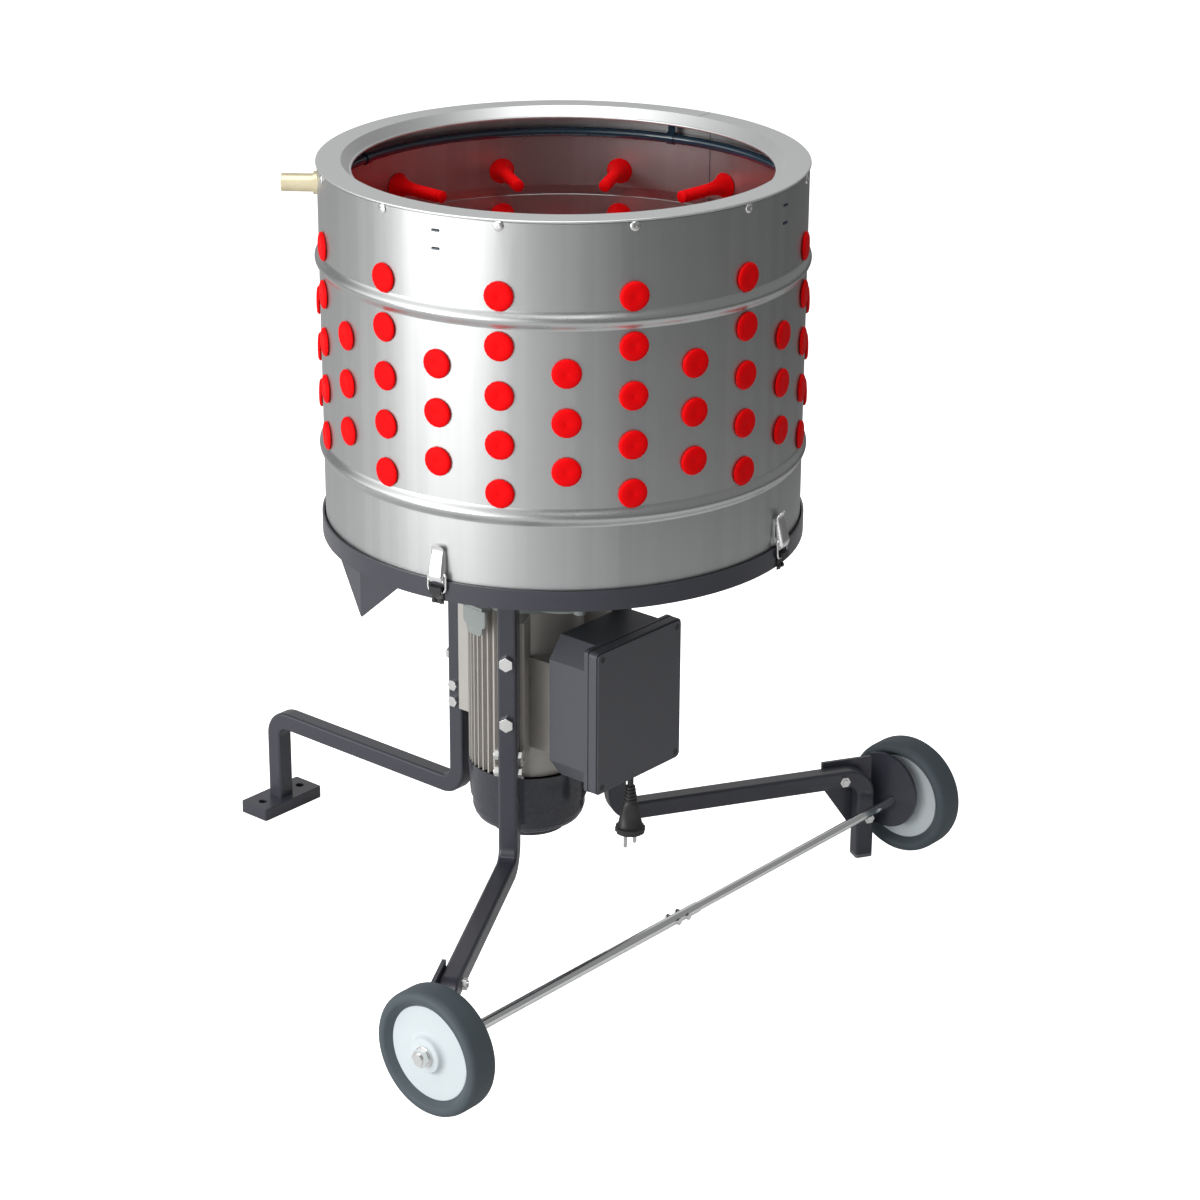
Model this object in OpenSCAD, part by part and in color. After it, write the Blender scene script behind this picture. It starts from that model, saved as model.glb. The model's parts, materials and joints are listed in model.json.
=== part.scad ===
// Drum poultry plucker on three legs, two of them on wheels
// Millimetres, +Z up. The origin is the centre of the machine's footprint on the floor.
// Angles called az are taken at the drum axis, from the front (-Y) towards the right.
// Directions are taken at the motor axis, from +X anticlockwise.

/* [Drum] */
// Outer radius of the drum
drum_r = 300; // [280:1:320]
// Thickness of the drum's sheet
drum_wall = 1.5; // [1:0.1:3]
// Height of the drum's sheet
drum_h = 463; // [440:1:520]
// Height of the lower bead above the drum's bottom edge
bead_low = 108; // [90:1:130]
// Height of the upper bead above the drum's bottom edge
bead_high = 348; // [320:1:360]
// Radius of a bead's round back
bead_r = 8; // [6:0.5:10]
// How far a bead stands out of the wall
bead_proud = 5; // [3:0.5:6]

/* [Rubber fingers] */
// Number of five-finger columns, with a three-finger column between each two
finger_columns = 12; // [8:1:12]
// Height between two fingers of a column
finger_pitch = 60; // [50:1:64]
// Height of the lowest finger above the drum's bottom edge
finger_low = 136; // [125:1:150]
// Length of a finger from the wall's outside to its tip
finger_l = 86; // [60:1:100]
// Radius of a finger's head
finger_head_r = 18; // [14:0.5:20]
// Thickness of a finger's head
finger_head_t = 4.5; // [3:0.5:7]
// Radius of the neck that fills the hole
finger_neck_r = 10.3; // [8:0.1:12]
// Radius of the flare behind the wall
finger_flare_r = 17; // [13:0.5:19]
// Length of the flare
finger_flare_l = 28; // [18:1:36]
// Radius of the ribbed shaft
finger_shaft_r = 8; // [6:0.5:9]
// Number of ribs on the shaft
finger_ribs = 9; // [4:1:12]
// Depth of the groove between two ribs
rib_depth = 1.3; // [0.5:0.1:2]

/* [Rim] */
// Height of the rim's top above the drum's upper edge
rim_rise = 4; // [3:0.5:8]
// Thickness of the rim's sheet
rim_wall = 1.5; // [1:0.1:2.5]
// Width of the rim's flat ring, from the drum's wall to the crease
rim_flat_w = 29; // [26:1:34]
// Width of the slope between the crease and the mouth
rim_slope_w = 11; // [7:1:20]
// Depth of the slope between the crease and the mouth
rim_drop = 12; // [8:1:20]
// Radius of the hem round the mouth
rim_hem_r = 1.8; // [1.2:0.1:2.5]
// Depth of the flange inside the drum
rim_flange = 18; // [14:1:24]
// Height of the rim screws below the drum's upper edge
rim_screw_drop = 4.5; // [4:0.5:8]
// Radius of a rim screw's shank
rim_screw_r = 2.5; // [2:0.1:3]

/* [Spray ring and water inlet] */
// Gap between the spray ring and the drum's wall
spray_gap = 6; // [4:0.5:12]
// Radius of the spray ring's tube
spray_tube_r = 6.5; // [5:0.5:7]
// Wall of the spray ring's tube
spray_wall = 1.4; // [1:0.1:2]
// Height of the spray ring below the drum's upper edge
spray_drop = 34; // [33:0.5:36]
// Height of the middle between a pair of clip slots below the drum's upper edge
slot_drop = 28.2; // [27:0.1:30]
// Distance between the two slots of a pair
slot_gap = 21.6; // [20:0.2:24]
// Number of spray nozzles
nozzles = 24; // [8:1:36]
// Radius of the inlet spigot
inlet_r = 11.25; // [9:0.25:13]
// Radius of the inlet's bore
inlet_bore_r = 7.5; // [5:0.25:8]
// Length of the inlet outside the drum
inlet_l = 46; // [35:1:60]

/* [Base tray] */
// Height of the tray's underside above the floor
tray_z = 565; // [560:1:640]
// Thickness of the tray's floor
tray_floor = 2.5; // [2:0.5:5]
// Thickness of the tray's ring
tray_wall = 2.5; // [2:0.5:4]
// Height of the tray's ring
tray_h = 25; // [20:1:26]
// Gap between the drum and the tray's ring
tray_gap = 2; // [1.8:0.1:4]
// Height of the gasket under the drum
gasket_h = 5.5; // [4:0.5:8]
// Width of the feather outlet, inwards from under the plate's edge
chute_w = 70; // [55:1:85]
// Depth of the chute's pointed guard below the tray
chute_drop = 65; // [40:1:80]

/* [Latches] */
// Width of a latch lever
lever_w = 19; // [18:0.5:22]
// Height of the lever above its pin
lever_h = 44; // [38:1:50]
// Thickness of the latch's sheet
latch_t = 1.2; // [0.8:0.1:1.5]
// Radius of a lever's pin
latch_pin_r = 2; // [1.5:0.1:2.2]
// Radius of the bail's wire
bail_r = 1.5; // [1.2:0.1:1.6]

/* [Feather plate] */
// Gap between the feather plate's edge and the drum's wall
plate_gap = 13.5; // [8.5:0.5:28]
// Thickness of the feather plate
plate_t = 3; // [2:0.5:5]
// Height of the plate's top above the tray's underside
plate_rise = 28; // [27:0.5:32]
// Radius of the plate's hub
plate_hub_r = 60; // [45:1:70]
// Radius of the plate's shaft
plate_shaft_r = 12.5; // [11:0.5:14]

/* [Gear case] */
// Height of the gear case without its cover
case_h = 88; // [84:1:100]
// Thickness of the gear case's cover
cover_t = 12; // [12:1:16]
// Wall of the gear case
case_wall = 5; // [4:0.5:7]
// Radius of the case round the large gear
case_gear_r = 64; // [62:1:70]
// Radius of the case over the motor
case_motor_r = 80; // [78:1:84]
// Thickness of the flange on the motor
flange_t = 10; // [8:1:14]
// Tooth size of both gears
gear_module = 2; // [1.8:0.1:2]
// Teeth of the large gear
gear_teeth = 48; // [44:1:48]
// Teeth of the pinion
pinion_teeth = 12; // [12:1:14]
// Width of the large gear
gear_w = 20; // [14:1:24]

/* [Motor] */
// Outer radius of the motor's tube
motor_r = 72; // [70:1:74]
// Wall of the motor's tube
motor_wall = 4; // [3:0.5:6]
// Length of the motor's tube
motor_l = 232; // [200:1:240]
// How far a cooling fin stands out of the tube
fin_out = 7; // [4:1:9]
// Thickness of a cooling fin
fin_t = 2.2; // [1.5:0.1:3]
// Angle between two cooling fins
fin_step = 7.2; // [6:0.6:12]
// Distance of the leg pads' faces from the motor axis
pad_out = 109; // [100:1:115]
// Width of a leg pad
pad_w = 35; // [26:1:40]
// Length of a leg pad
pad_l = 192; // [170:1:196]
// Radius of the motor's shaft
motor_shaft_r = 10; // [8:0.5:11]
// Height of the fan cowl
cowl_h = 95; // [85:1:105]
// Wall of the fan cowl
cowl_wall = 2; // [1.5:0.5:3]

/* [Control box] */
// Distance of the box's back from the motor axis
box_back = 110; // [105:1:120]
// Depth of the box's body
box_d = 64; // [58:1:80]
// Width of the box
box_w = 166; // [150:1:180]
// Height of the box
box_h = 195; // [180:1:210]
// Height of the box's underside above the floor
box_z = 249; // [244:1:256]
// Wall of the box
box_wall = 4; // [3:0.5:5]
// Width of the box's sloping corners
box_slope_w = 22; // [10:1:26]
// Height of the box's sloping corners
box_slope_h = 28; // [10:1:34]
// Thickness of the lid
lid_t = 14; // [10:1:20]
// Thickness of the lid's gasket
lid_gasket_t = 2; // [1:0.5:3]

/* [Mains lead] */
// Radius of the mains lead
cord_r = 4; // [3.5:0.1:4.1]
// Sideways place of the mains lead on the box
cord_side = 31; // [20:1:40]
// Radius of the plug's flange
plug_r = 20; // [18:0.5:22]
// Distance between the plug's pins
plug_pin_gap = 19; // [17:0.5:21]
// Radius of a plug's pin
plug_pin_r = 2.4; // [2:0.1:2.6]
// Length of a plug's pin outside the plug
plug_pin_l = 19; // [17:1:22]

/* [Legs] */
// Width of the square leg tube
leg_w = 25; // [22:1:30]
// Wall of the leg tube
leg_wall = 2; // [1.5:0.5:3]
// Corner radius of the leg tube
leg_corner = 4; // [3:0.5:5]
// Radius of the leg's bends, to the tube's middle line
leg_bend = 27; // [24:1:32]
// Reach of the two wheel legs from the motor axis
leg_reach = 486; // [470:1:500]
// Height of the wheel legs' level stretch
leg_low_z = 122; // [116:1:130]
// Reach of the foot leg from the motor axis
foot_reach = 477; // [460:1:500]
// Height of the foot leg's level stretch
foot_leg_z = 140; // [134:1:160]
// Length of the foot plate
foot_l = 110; // [90:1:140]
// Width of the foot plate
foot_w = 50; // [40:1:60]
// Thickness of the foot plate
foot_t = 18; // [6:1:24]
// Distance between the foot plate's holes
foot_holes = 73; // [60:1:80]
// Radius of the foot plate's holes
foot_hole_r = 5.5; // [4:0.5:7]
// Thickness of the caps on the wheel legs
cap_t = 5; // [3:1:10]

/* [Bolts] */
// Radius of the bolts that hold the legs to the motor
pad_bolt_r = 5; // [4:0.5:6]
// Radius of the bolts across the legs and in the tray
cross_bolt_r = 4; // [3:0.5:5]
// Height of the upper cross bolt of the wheel legs
cross_bolt_z = 276.5; // [270:0.5:285]
// Distance between two cross bolts
cross_bolt_gap = 23.5; // [20:0.5:30]
// Height of the lower leg bolts of the wheel legs
pad_bolt_z = 325; // [300:1:350]
// Distance between two leg bolts
pad_bolt_gap = 83.7; // [60:0.1:90]

/* [Wheels] */
// Radius of a wheel
wheel_r = 80; // [75:1:84]
// Width of a wheel
wheel_w = 42; // [34:1:50]
// Radius of a wheel's hub disc
hub_r = 60; // [50:1:66]
// Radius of a hub's boss
boss_r = 22; // [16:0.5:26]
// Height of the axle above the floor
axle_z = 85; // [85:1:90]
// Distance of the axle beyond the lower ends of the wheel legs
axle_ahead = 34; // [27:1:42]
// Distance along the axle from the middle of a leg's lower end to the wheel
wheel_clear = 31.6; // [25:0.1:36]
// Radius of the axle's tube
axle_tube_r = 7; // [6.5:0.1:8]
// Radius of the axle's rod
axle_rod_r = 6; // [5:0.1:6.2]
// Thickness of the wheel brackets' sheet
bracket_t = 5; // [3:0.5:6]

/* [Clearances] */
// Running clearance of a shaft or pin in its hole
run_gap = 0.05; // [0.02:0.01:0.09]
// Clearance of a bolt or spigot in its hole
bolt_gap = 0.2; // [0.1:0.05:0.4]
// Clearance of a finger's neck in its hole
neck_gap = 0.2; // [0.1:0.05:0.4]
// Gap between a turning face and the face beside it
side_gap = 0.3; // [0.2:0.05:0.6]

/* [Hidden] */
$fn = 40;
round_fn = 120;
far = 1000;
sliver = 0.01;

// Directions at the motor axis
box_dir = 318;
foot_dir = box_dir - 180;
front_dir = box_dir - 60;
right_dir = box_dir + 60;
lug_dir = 223;

// Stack of heights, from the tray up and down
drum_z = tray_z + tray_floor + gasket_h;
drum_top = drum_z + drum_h;
rim_top = drum_top + rim_rise;
ring_r = drum_r + tray_gap + tray_wall;
ring_top = tray_z + tray_h;
plate_top = tray_z + plate_rise;
plate_low = plate_top - plate_t;
rim_crease_r = drum_r - rim_flat_w;
rim_mouth_r = rim_crease_r - rim_slope_w;
spray_r = drum_r - drum_wall - spray_gap - spray_tube_r;
plate_r = drum_r - drum_wall - plate_gap;
chute_r = plate_r - chute_w;
hub_z = tray_z + 10;
cover_z = tray_z - cover_t;
case_z = cover_z - case_h;
flange_z = case_z - flange_t;
motor_z = flange_z - motor_l;
cowl_z = motor_z - cowl_h;
pad_z = flange_z - pad_l;

// Gears
gear_gap = gear_module * (gear_teeth + pinion_teeth) / 2;
pressure_angle = 20;
gear_addendum = 0.75 * gear_module;
pinion_addendum = gear_module;
tooth_root = 1.25 * gear_module;
tooth_play = 0.16;
gear_z = case_z + 27;
motor_x = gear_gap * cos(foot_dir);
motor_y = gear_gap * sin(foot_dir);

// Bearings: outer radius and width
plate_bearing_r = plate_shaft_r + 13.5;
plate_bearing_w = 15;
motor_bearing_r = motor_shaft_r + 13.5;
motor_bearing_w = 14;
bearing_wall = 5;
plate_bearing_z = case_z + 6;
top_bearing_z = cover_z - 10;
motor_bearing_z = flange_z + 1;
low_bearing_z = motor_z + 10;
pinion_bore_r = 6.5;
case_floor = 10;

// Latches: the lever's pin, the bail's pin on the lever and the bail's bar in its keeper
latch_azs = [-30, 60, 150, 240];
lever_pin = [drum_r + 8.5, ring_top + 1];
bail_pin = [lever_pin[0] - 1.5, lever_pin[1] + 8];
bail_bar = [ring_r + 3.5, ring_top - 13];
bail_l = norm(bail_pin - bail_bar);
bail_lean = atan2(bail_bar[0] - bail_pin[0], bail_pin[1] - bail_bar[1]);
bail_half = lever_w / 2 + 2.5;
ear_x = lever_w / 2 - latch_t - 0.5;

// Places of the screws that hold the tray and the cover to the case
ear_r = 8;
case_ears = [[case_gear_r + 2, 288], [case_gear_r + 2, 348]];
motor_ears = [[case_motor_r + 2, 78], [case_motor_r + 2, 198]];

// Legs
leg_mid = pad_out + leg_w / 2;
leg_plate_t = 4;
leg_plate_w = 30;
leg_plate_l = 60;
leg_plate_bolt = 21;
foot_lift = foot_leg_z - leg_low_z;
case_screw_l = 28;

// Wheels and axle: v runs from the motor axis across the axle, u along it from its middle
axle_v = leg_reach * cos(60) + axle_ahead;
wheel_u = leg_reach * sin(60) + wheel_clear + wheel_w / 2;
wheel_in = wheel_u - wheel_w / 2;
wheel_out = wheel_u + wheel_w / 2;
spacer_w = 5.5;
bracket_out = wheel_in - spacer_w;
flange_side = leg_w / 2 + bracket_t;
corner_r = (bracket_out - flange_side * cos(60)) / sin(60);
corner_v = corner_r * cos(60) - flange_side * sin(60);
axle_end = wheel_out + 12;
tyre_edge = 8;

// Mains lead: it hangs straight down from its grommet into the plug's relief
cord_out = box_back + 40;
plug_top = box_z - 36;
cord_in_plug = 20;
cord_route = [[0, 0, 246], [0, 0, 243], [0, 0, 240], [0, 0, 236], [0, 0, 232], [0, 0, 228],
    [0, 0, 224], [0, 0, 220], [0, 0, 216], [0, 0, 212], [0, 0, 208], [0, 0, 204],
    [0, 0, 200], [0, 0, 197], [0, 0, 193]];
plug_low = plug_top - 67;

// Centre of the footprint, from the foot plate's far corner and the wheels' outer edges
wheel_x = motor_x + axle_v * cos(box_dir) + wheel_u * cos(box_dir + 90);
wheel_y = motor_y + axle_v * sin(box_dir) - wheel_u * sin(box_dir + 90);
low_x = motor_x + foot_reach * cos(foot_dir) - foot_w / 2 * abs(cos(foot_dir))
    - foot_l / 2 * abs(sin(foot_dir));
high_y = motor_y + foot_reach * sin(foot_dir) + foot_w / 2 * abs(sin(foot_dir))
    + foot_l / 2 * abs(cos(foot_dir));
high_x = wheel_x + (wheel_r - tyre_edge) * abs(cos(box_dir))
    + (wheel_w / 2 - tyre_edge) * abs(sin(box_dir)) + tyre_edge;
low_y = wheel_y - (wheel_r - tyre_edge) * abs(sin(box_dir))
    - (wheel_w / 2 - tyre_edge) * abs(cos(box_dir)) - tyre_edge;
foot_middle = [(low_x + high_x) / 2, (low_y + high_y) / 2, 0];

// Places of the rubber fingers in the drum: az and height
finger_places = [for (i = [0:finger_columns - 1], k = [0:4])
        [360 / finger_columns * (i + 0.5), drum_z + finger_low + k * finger_pitch],
    for (i = [0:finger_columns - 1], k = [0:2])
        [360 / finger_columns * i, drum_z + finger_low + (k + 0.5) * finger_pitch]];
// Rings of fingers on the plate: radius and number
plate_rings = [[plate_r - 175, 8], [plate_r - 105, 14], [plate_r - 35, 20]];

// Placing
module on_floor() { translate(-foot_middle) children(); }
module at_motor() { translate([motor_x, motor_y, 0]) children(); }
module at_dir(d) { at_motor() rotate([0, 0, d]) children(); }
module on_wall(az, z) {
    rotate([0, 0, az]) translate([0, -drum_r, z]) rotate([90, 0, 0]) children();
}
module outwards(az) { rotate([0, 0, az + 180]) children(); }
module side_slab(x, w) { translate([x, 0, 0]) rotate([90, 0, 90]) linear_extrude(w) children(); }
module wheel_axis(side) {
    at_dir(box_dir) translate([axle_v, 0, axle_z]) rotate([-90 * side, 0, 0]) children();
}

// Fasteners, with the head's underside at zero and the shank downwards
module hex(r, h) { cylinder(h = h, r = r, $fn = 6); }
module hex_bolt(r, l) {
    hex(1.95 * r, 1.3 * r);
    translate([0, 0, -l]) cylinder(h = l + sliver, r = r);
}
module hex_nut(r) {
    difference() {
        hex(1.95 * r, 1.6 * r);
        translate([0, 0, -far / 2]) cylinder(h = far, r = r + run_gap);
    }
}
module ring(r_out, r_in, h) {
    difference() {
        cylinder(h = h, r = r_out, $fn = round_fn);
        translate([0, 0, -far / 2]) cylinder(h = far, r = r_in, $fn = round_fn);
    }
}

// Drum
module bead_outline(z) {
    intersection() {
        translate([drum_r + bead_proud - bead_r, z]) circle(r = bead_r);
        translate([drum_r - drum_wall, z - bead_r]) square([far, 2 * bead_r]);
    }
}
module bead_hollow(z) {
    translate([drum_r + bead_proud - bead_r, z]) circle(r = bead_r - drum_wall);
}
module drum_outline() {
    difference() {
        union() {
            translate([drum_r - drum_wall, 0]) square([drum_wall, drum_h]);
            bead_outline(bead_low);
            bead_outline(bead_high);
        }
        bead_hollow(bead_low);
        bead_hollow(bead_high);
    }
}
module wall_hole(r) { translate([0, 0, -20]) cylinder(h = 40, r = r, $fn = 32); }
module clip_slots(w, h) {
    for (side = [-1, 1])
        translate([0, side * slot_gap / 2, 0]) cube([w, h, 40], center = true);
}
clip_w = 10;
clip_t = 1.5;
spray_z = drum_top - spray_drop;
slot_z = drum_top - slot_drop;
rim_screw_azs = [for (i = [0:11]) 30 * i + 15];
inlet_az = -94;
module drum_shell() {
    color("#d4d7d9") difference() {
        translate([0, 0, drum_z]) rotate_extrude($fn = round_fn) drum_outline();
        for (p = finger_places) on_wall(p[0], p[1]) wall_hole(finger_neck_r + neck_gap);
        for (az = rim_screw_azs)
            on_wall(az, drum_top - rim_screw_drop) wall_hole(rim_screw_r + bolt_gap);
        for (az = latch_azs)
            on_wall(az, slot_z) clip_slots(clip_w + 2 * bolt_gap, clip_t + 2);
        on_wall(inlet_az, spray_z) wall_hole(inlet_bore_r + 2 + bolt_gap);
    }
}

// A rubber finger, with its head outside the wall at zero and its tip downwards
function finger_ribbed(top) = let (step = (finger_l - 8 - top) / finger_ribs)
    [for (i = [0:finger_ribs - 1]) each [
        [finger_shaft_r, -top - i * step],
        [finger_shaft_r, -top - (i + 0.55) * step],
        [finger_shaft_r - rib_depth, -top - (i + 0.85) * step]]];
module finger(wall) {
    edge = finger_head_t / 2;
    under = wall + 3 * side_gap;
    rotate_extrude($fn = 28) {
        translate([finger_head_r - edge, edge + side_gap]) circle(r = edge, $fn = 24);
        polygon(concat(
            [[0, finger_head_t + side_gap], [finger_head_r - edge, finger_head_t + side_gap],
                [finger_head_r - edge, side_gap], [finger_neck_r, side_gap],
                [finger_neck_r, -under], [finger_flare_r, -under],
                [finger_flare_r - 1, -under - 2],
                [finger_shaft_r + 2.5, -under - 0.4 * finger_flare_l],
                [finger_shaft_r + 0.5, -under - finger_flare_l]],
            finger_ribbed(under + finger_flare_l + 3),
            [[finger_shaft_r, -finger_l + 7], [finger_shaft_r, -finger_l + 1],
                [finger_shaft_r - 1, -finger_l], [0, -finger_l]]));
    }
}
module drum_fingers() {
    color("#e8191c") for (p = finger_places) on_wall(p[0], p[1]) finger(drum_wall);
}

// Rim: a flat ring with a rolled outer edge, a sloping band inside that ends in a round hem,
// and a flange in the drum
flange_r = drum_r - drum_wall - side_gap;
function arc(middle, r, from, to, steps) = [for (i = [0:steps])
    let (a = from + (to - from) * i / steps) middle + r * [cos(a), sin(a)]];
module rim_outline() {
    under = rim_rise - rim_wall;
    lean = atan2(rim_drop, rim_slope_w);
    grip = asin(rim_wall / 2 * cos(lean) / rim_hem_r);
    polygon(concat(
        [[flange_r - rim_wall, under], [flange_r - rim_wall, rim_rise - rim_flange],
            [flange_r, rim_rise - rim_flange], [flange_r, under]],
        arc([drum_r + 0.2, under], rim_wall, 180, 450, 9),
        [[rim_crease_r, rim_rise]],
        arc([rim_mouth_r, rim_rise - rim_drop - rim_wall / 2], rim_hem_r,
            lean + grip, 360 + lean - grip, 11),
        [[rim_crease_r, under]]));
}
module rim_ring() {
    color("#dfe1e2") difference() {
        translate([0, 0, drum_top]) rotate_extrude($fn = round_fn) rim_outline();
        for (az = rim_screw_azs)
            on_wall(az, drum_top - rim_screw_drop) wall_hole(rim_screw_r + bolt_gap);
    }
}
module dome_screw(r, l) {
    rotate_extrude() intersection() {
        translate([0, -2.2 * r]) circle(r = 3 * r);
        translate([0, 0]) square([2 * r, 4 * r]);
    }
    translate([0, 0, -l]) cylinder(h = l + sliver, r = r);
}
module rim_screws() {
    color("#c9ccce") for (az = rim_screw_azs)
        on_wall(az, drum_top - rim_screw_drop) {
            translate([0, 0, side_gap]) dome_screw(rim_screw_r, 8);
        }
}

// Spray ring, its clips and the water inlet
module spray_ring() {
    tee_end = drum_r - 2;
    color("#2a3138") difference() {
        union() {
            translate([0, 0, spray_z]) rotate_extrude($fn = round_fn)
                translate([spray_r, 0]) rotate(90) circle(r = spray_tube_r, $fn = 24);
            rotate([0, 0, inlet_az]) translate([0, -spray_r, spray_z]) rotate([90, 0, 0])
                cylinder(h = tee_end - spray_r, r = inlet_bore_r + 1.5);
        }
        translate([0, 0, spray_z]) rotate_extrude($fn = round_fn)
            translate([spray_r, 0]) rotate(90) circle(r = spray_tube_r - spray_wall, $fn = 24);
        rotate([0, 0, inlet_az]) translate([0, -spray_r, spray_z]) rotate([90, 0, 0])
            cylinder(h = tee_end, r = spray_tube_r - 2 * spray_wall);
        for (i = [0:nozzles - 1]) rotate([0, 0, 360 / nozzles * (i + 0.5)])
            translate([0, -spray_r, spray_z]) rotate([-120, 0, 0])
                cylinder(h = 2 * spray_tube_r, r = 1, $fn = 16);
    }
}
// A clip: a strap round the tube, with a tab through the upper and the lower slot
module clip_tab(from, height) {
    translate([from, height - clip_t / 2]) square([drum_r - spray_r - from + 1.5, clip_t]);
}
module clip_outline() {
    hook = spray_tube_r + clip_t + run_gap;
    upper = slot_z + slot_gap / 2 - spray_z;
    difference() {
        union() {
            circle(r = hook);
            translate([-clip_t / 2, hook - 1]) square([clip_t, upper - hook + 1 + clip_t / 2]);
            clip_tab(-clip_t / 2, upper);
            clip_tab(spray_tube_r - 1, slot_z - slot_gap / 2 - spray_z);
        }
        circle(r = spray_tube_r + run_gap);
    }
}
module spray_clips() {
    color("#b8bcbf") for (az = latch_azs) outwards(az) side_slab(-clip_w / 2, clip_w)
        translate([spray_r, spray_z]) clip_outline();
}
module water_inlet() {
    color("#c9a95c") on_wall(inlet_az, spray_z) rotate_extrude() difference() {
        union() {
            translate([0, -2]) square([inlet_bore_r + 2, 6]);
            translate([0, side_gap]) square([inlet_r + 3, 6]);
            square([inlet_r, inlet_l]);
        }
        translate([-1, -far / 2]) square([inlet_bore_r + 1, far]);
    }
}

// Base tray, gasket and the guard of the feather outlet
chute_az = -58;
chute_left = -72;
chute_right = -43;
module tray_hole(x, y, r) {
    translate([x, y, tray_z - 1]) cylinder(h = tray_floor + 2, r = r);
}
module leg_plate_places() {
    for (d = [front_dir, right_dir, foot_dir]) at_dir(d)
        for (side = [-1, 1]) translate([leg_mid, side * leg_plate_bolt, 0]) children();
}
module case_screw_places() {
    for (p = case_ears) rotate([0, 0, p[1]]) translate([p[0], 0, 0]) children();
    for (p = motor_ears) at_dir(p[1]) translate([p[0], 0, 0]) children();
}
module base_tray() {
    color("#2c2d2f") difference() {
        union() {
            translate([0, 0, tray_z]) cylinder(h = tray_floor, r = ring_r, $fn = round_fn);
            translate([0, 0, tray_z]) ring(ring_r, ring_r - tray_wall, tray_h);
        }
        rotate([0, 0, chute_left - 90]) translate([0, 0, tray_z - 1])
            rotate_extrude(angle = chute_right - chute_left, $fn = round_fn)
                translate([chute_r, 0]) square([plate_r - chute_r, tray_floor + 2]);
        tray_hole(0, 0, plate_bearing_r);
        leg_plate_places() tray_hole(0, 0, cross_bolt_r + bolt_gap);
        case_screw_places() tray_hole(0, 0, cross_bolt_r + bolt_gap);
    }
}
module drum_gasket() {
    color("#151515") translate([0, 0, tray_z + tray_floor])
        ring(drum_r + tray_gap - 0.5, drum_r - 4, gasket_h);
}
chute_edge = plate_r + 11;
chute_t = 2;
chute_lip = 2;
// A sheet bent once at the middle, cut to a point below and to a low lip at both ends
module feather_chute() {
    bend = chute_edge * [for (a = [chute_left - chute_az, 0, chute_right - chute_az])
        [sin(a), 1 - cos(a)]];
    color("#303133") rotate([0, 0, chute_az]) translate([0, -chute_edge, tray_z]) intersection() {
        translate([0, 0, -chute_drop - 1]) linear_extrude(chute_drop + 1)
            polygon(concat(bend, [for (i = [2, 1, 0]) bend[i] + [0, chute_t]]));
        rotate([90, 0, 0]) linear_extrude(far, center = true)
            polygon([[bend[0][0] - 1, 1], [bend[0][0] - 1, -chute_lip], [-1, -chute_drop],
                [1, -chute_drop], [bend[2][0] + 1, -chute_lip], [bend[2][0] + 1, 1]]);
    }
}

// Latches. Outlines are drawn as distance from the drum axis and height.
module lever() {
    top = [drum_r + 5.5, lever_pin[1] + lever_h - 6];
    low = [lever_pin[0] + 5.7, lever_pin[1] + 5];
    foot = [lever_pin[0] + 3.2, lever_pin[1]];
    for (x = [-lever_w / 2, lever_w / 2 - latch_t]) side_slab(x, latch_t) difference() {
        union() {
            translate(lever_pin) circle(r = 3.2);
            polygon([[lever_pin[0] - 3.2, lever_pin[1]], foot, low, top, [top[0] - 2, top[1]]]);
        }
        translate(lever_pin) circle(r = latch_pin_r + run_gap);
        translate(bail_pin) circle(r = bail_r + run_gap);
    }
    side_slab(-lever_w / 2, lever_w) polygon([low, top, [top[0] + 3, top[1] + 6],
        [top[0] + 3 - latch_t, top[1] + 6.4], [top[0] - latch_t, top[1]],
        [low[0] - latch_t, low[1]]]);
}
module bail() {
    translate([0, bail_pin[0], bail_pin[1]]) rotate([bail_lean, 0, 0]) {
        for (side = [-1, 1]) {
            translate([side * bail_half, 0, -bail_l]) cylinder(h = bail_l, r = bail_r);
            translate([side * bail_half, 0, 0]) sphere(r = bail_r);
            translate([side * bail_half, 0, -bail_l]) sphere(r = bail_r);
            translate([side * bail_half, 0, 0]) rotate([0, -90 * side, 0])
                cylinder(h = bail_half - ear_x - 0.3, r = bail_r);
        }
        translate([-bail_half, 0, -bail_l]) rotate([0, 90, 0])
            cylinder(h = 2 * bail_half, r = bail_r);
    }
}
module latch_base() {
    wall = drum_r + run_gap;
    foot = ring_top + 2;
    translate([-ear_x, wall, foot]) cube([2 * ear_x, 1.5, 34]);
    for (x = [-ear_x, ear_x - 1.6]) side_slab(x, 1.6) {
        polygon([[wall, foot], [wall, foot + 14], [lever_pin[0], lever_pin[1] + 3],
            [lever_pin[0] + 2, lever_pin[1]]]);
        translate(lever_pin) circle(r = 3);
    }
    translate([-lever_w / 2 - 0.7, lever_pin[0], lever_pin[1]]) rotate([0, 90, 0])
        cylinder(h = lever_w + 1.4, r = latch_pin_r);
    for (side = [-1, 1]) translate([side * (lever_w / 2 + 0.4), lever_pin[0], lever_pin[1]])
        rotate([0, 90, 0]) cylinder(h = 0.6, r = latch_pin_r + 0.8, center = true);
    for (side = [-1, 1]) translate([side * 3.6, wall, foot + 28]) rotate([-90, 0, 0])
        cylinder(h = 2.7, r = 2.4);
}
module latch_bases() {
    color("#c4c7c9") for (az = latch_azs) outwards(az) latch_base();
}
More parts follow.
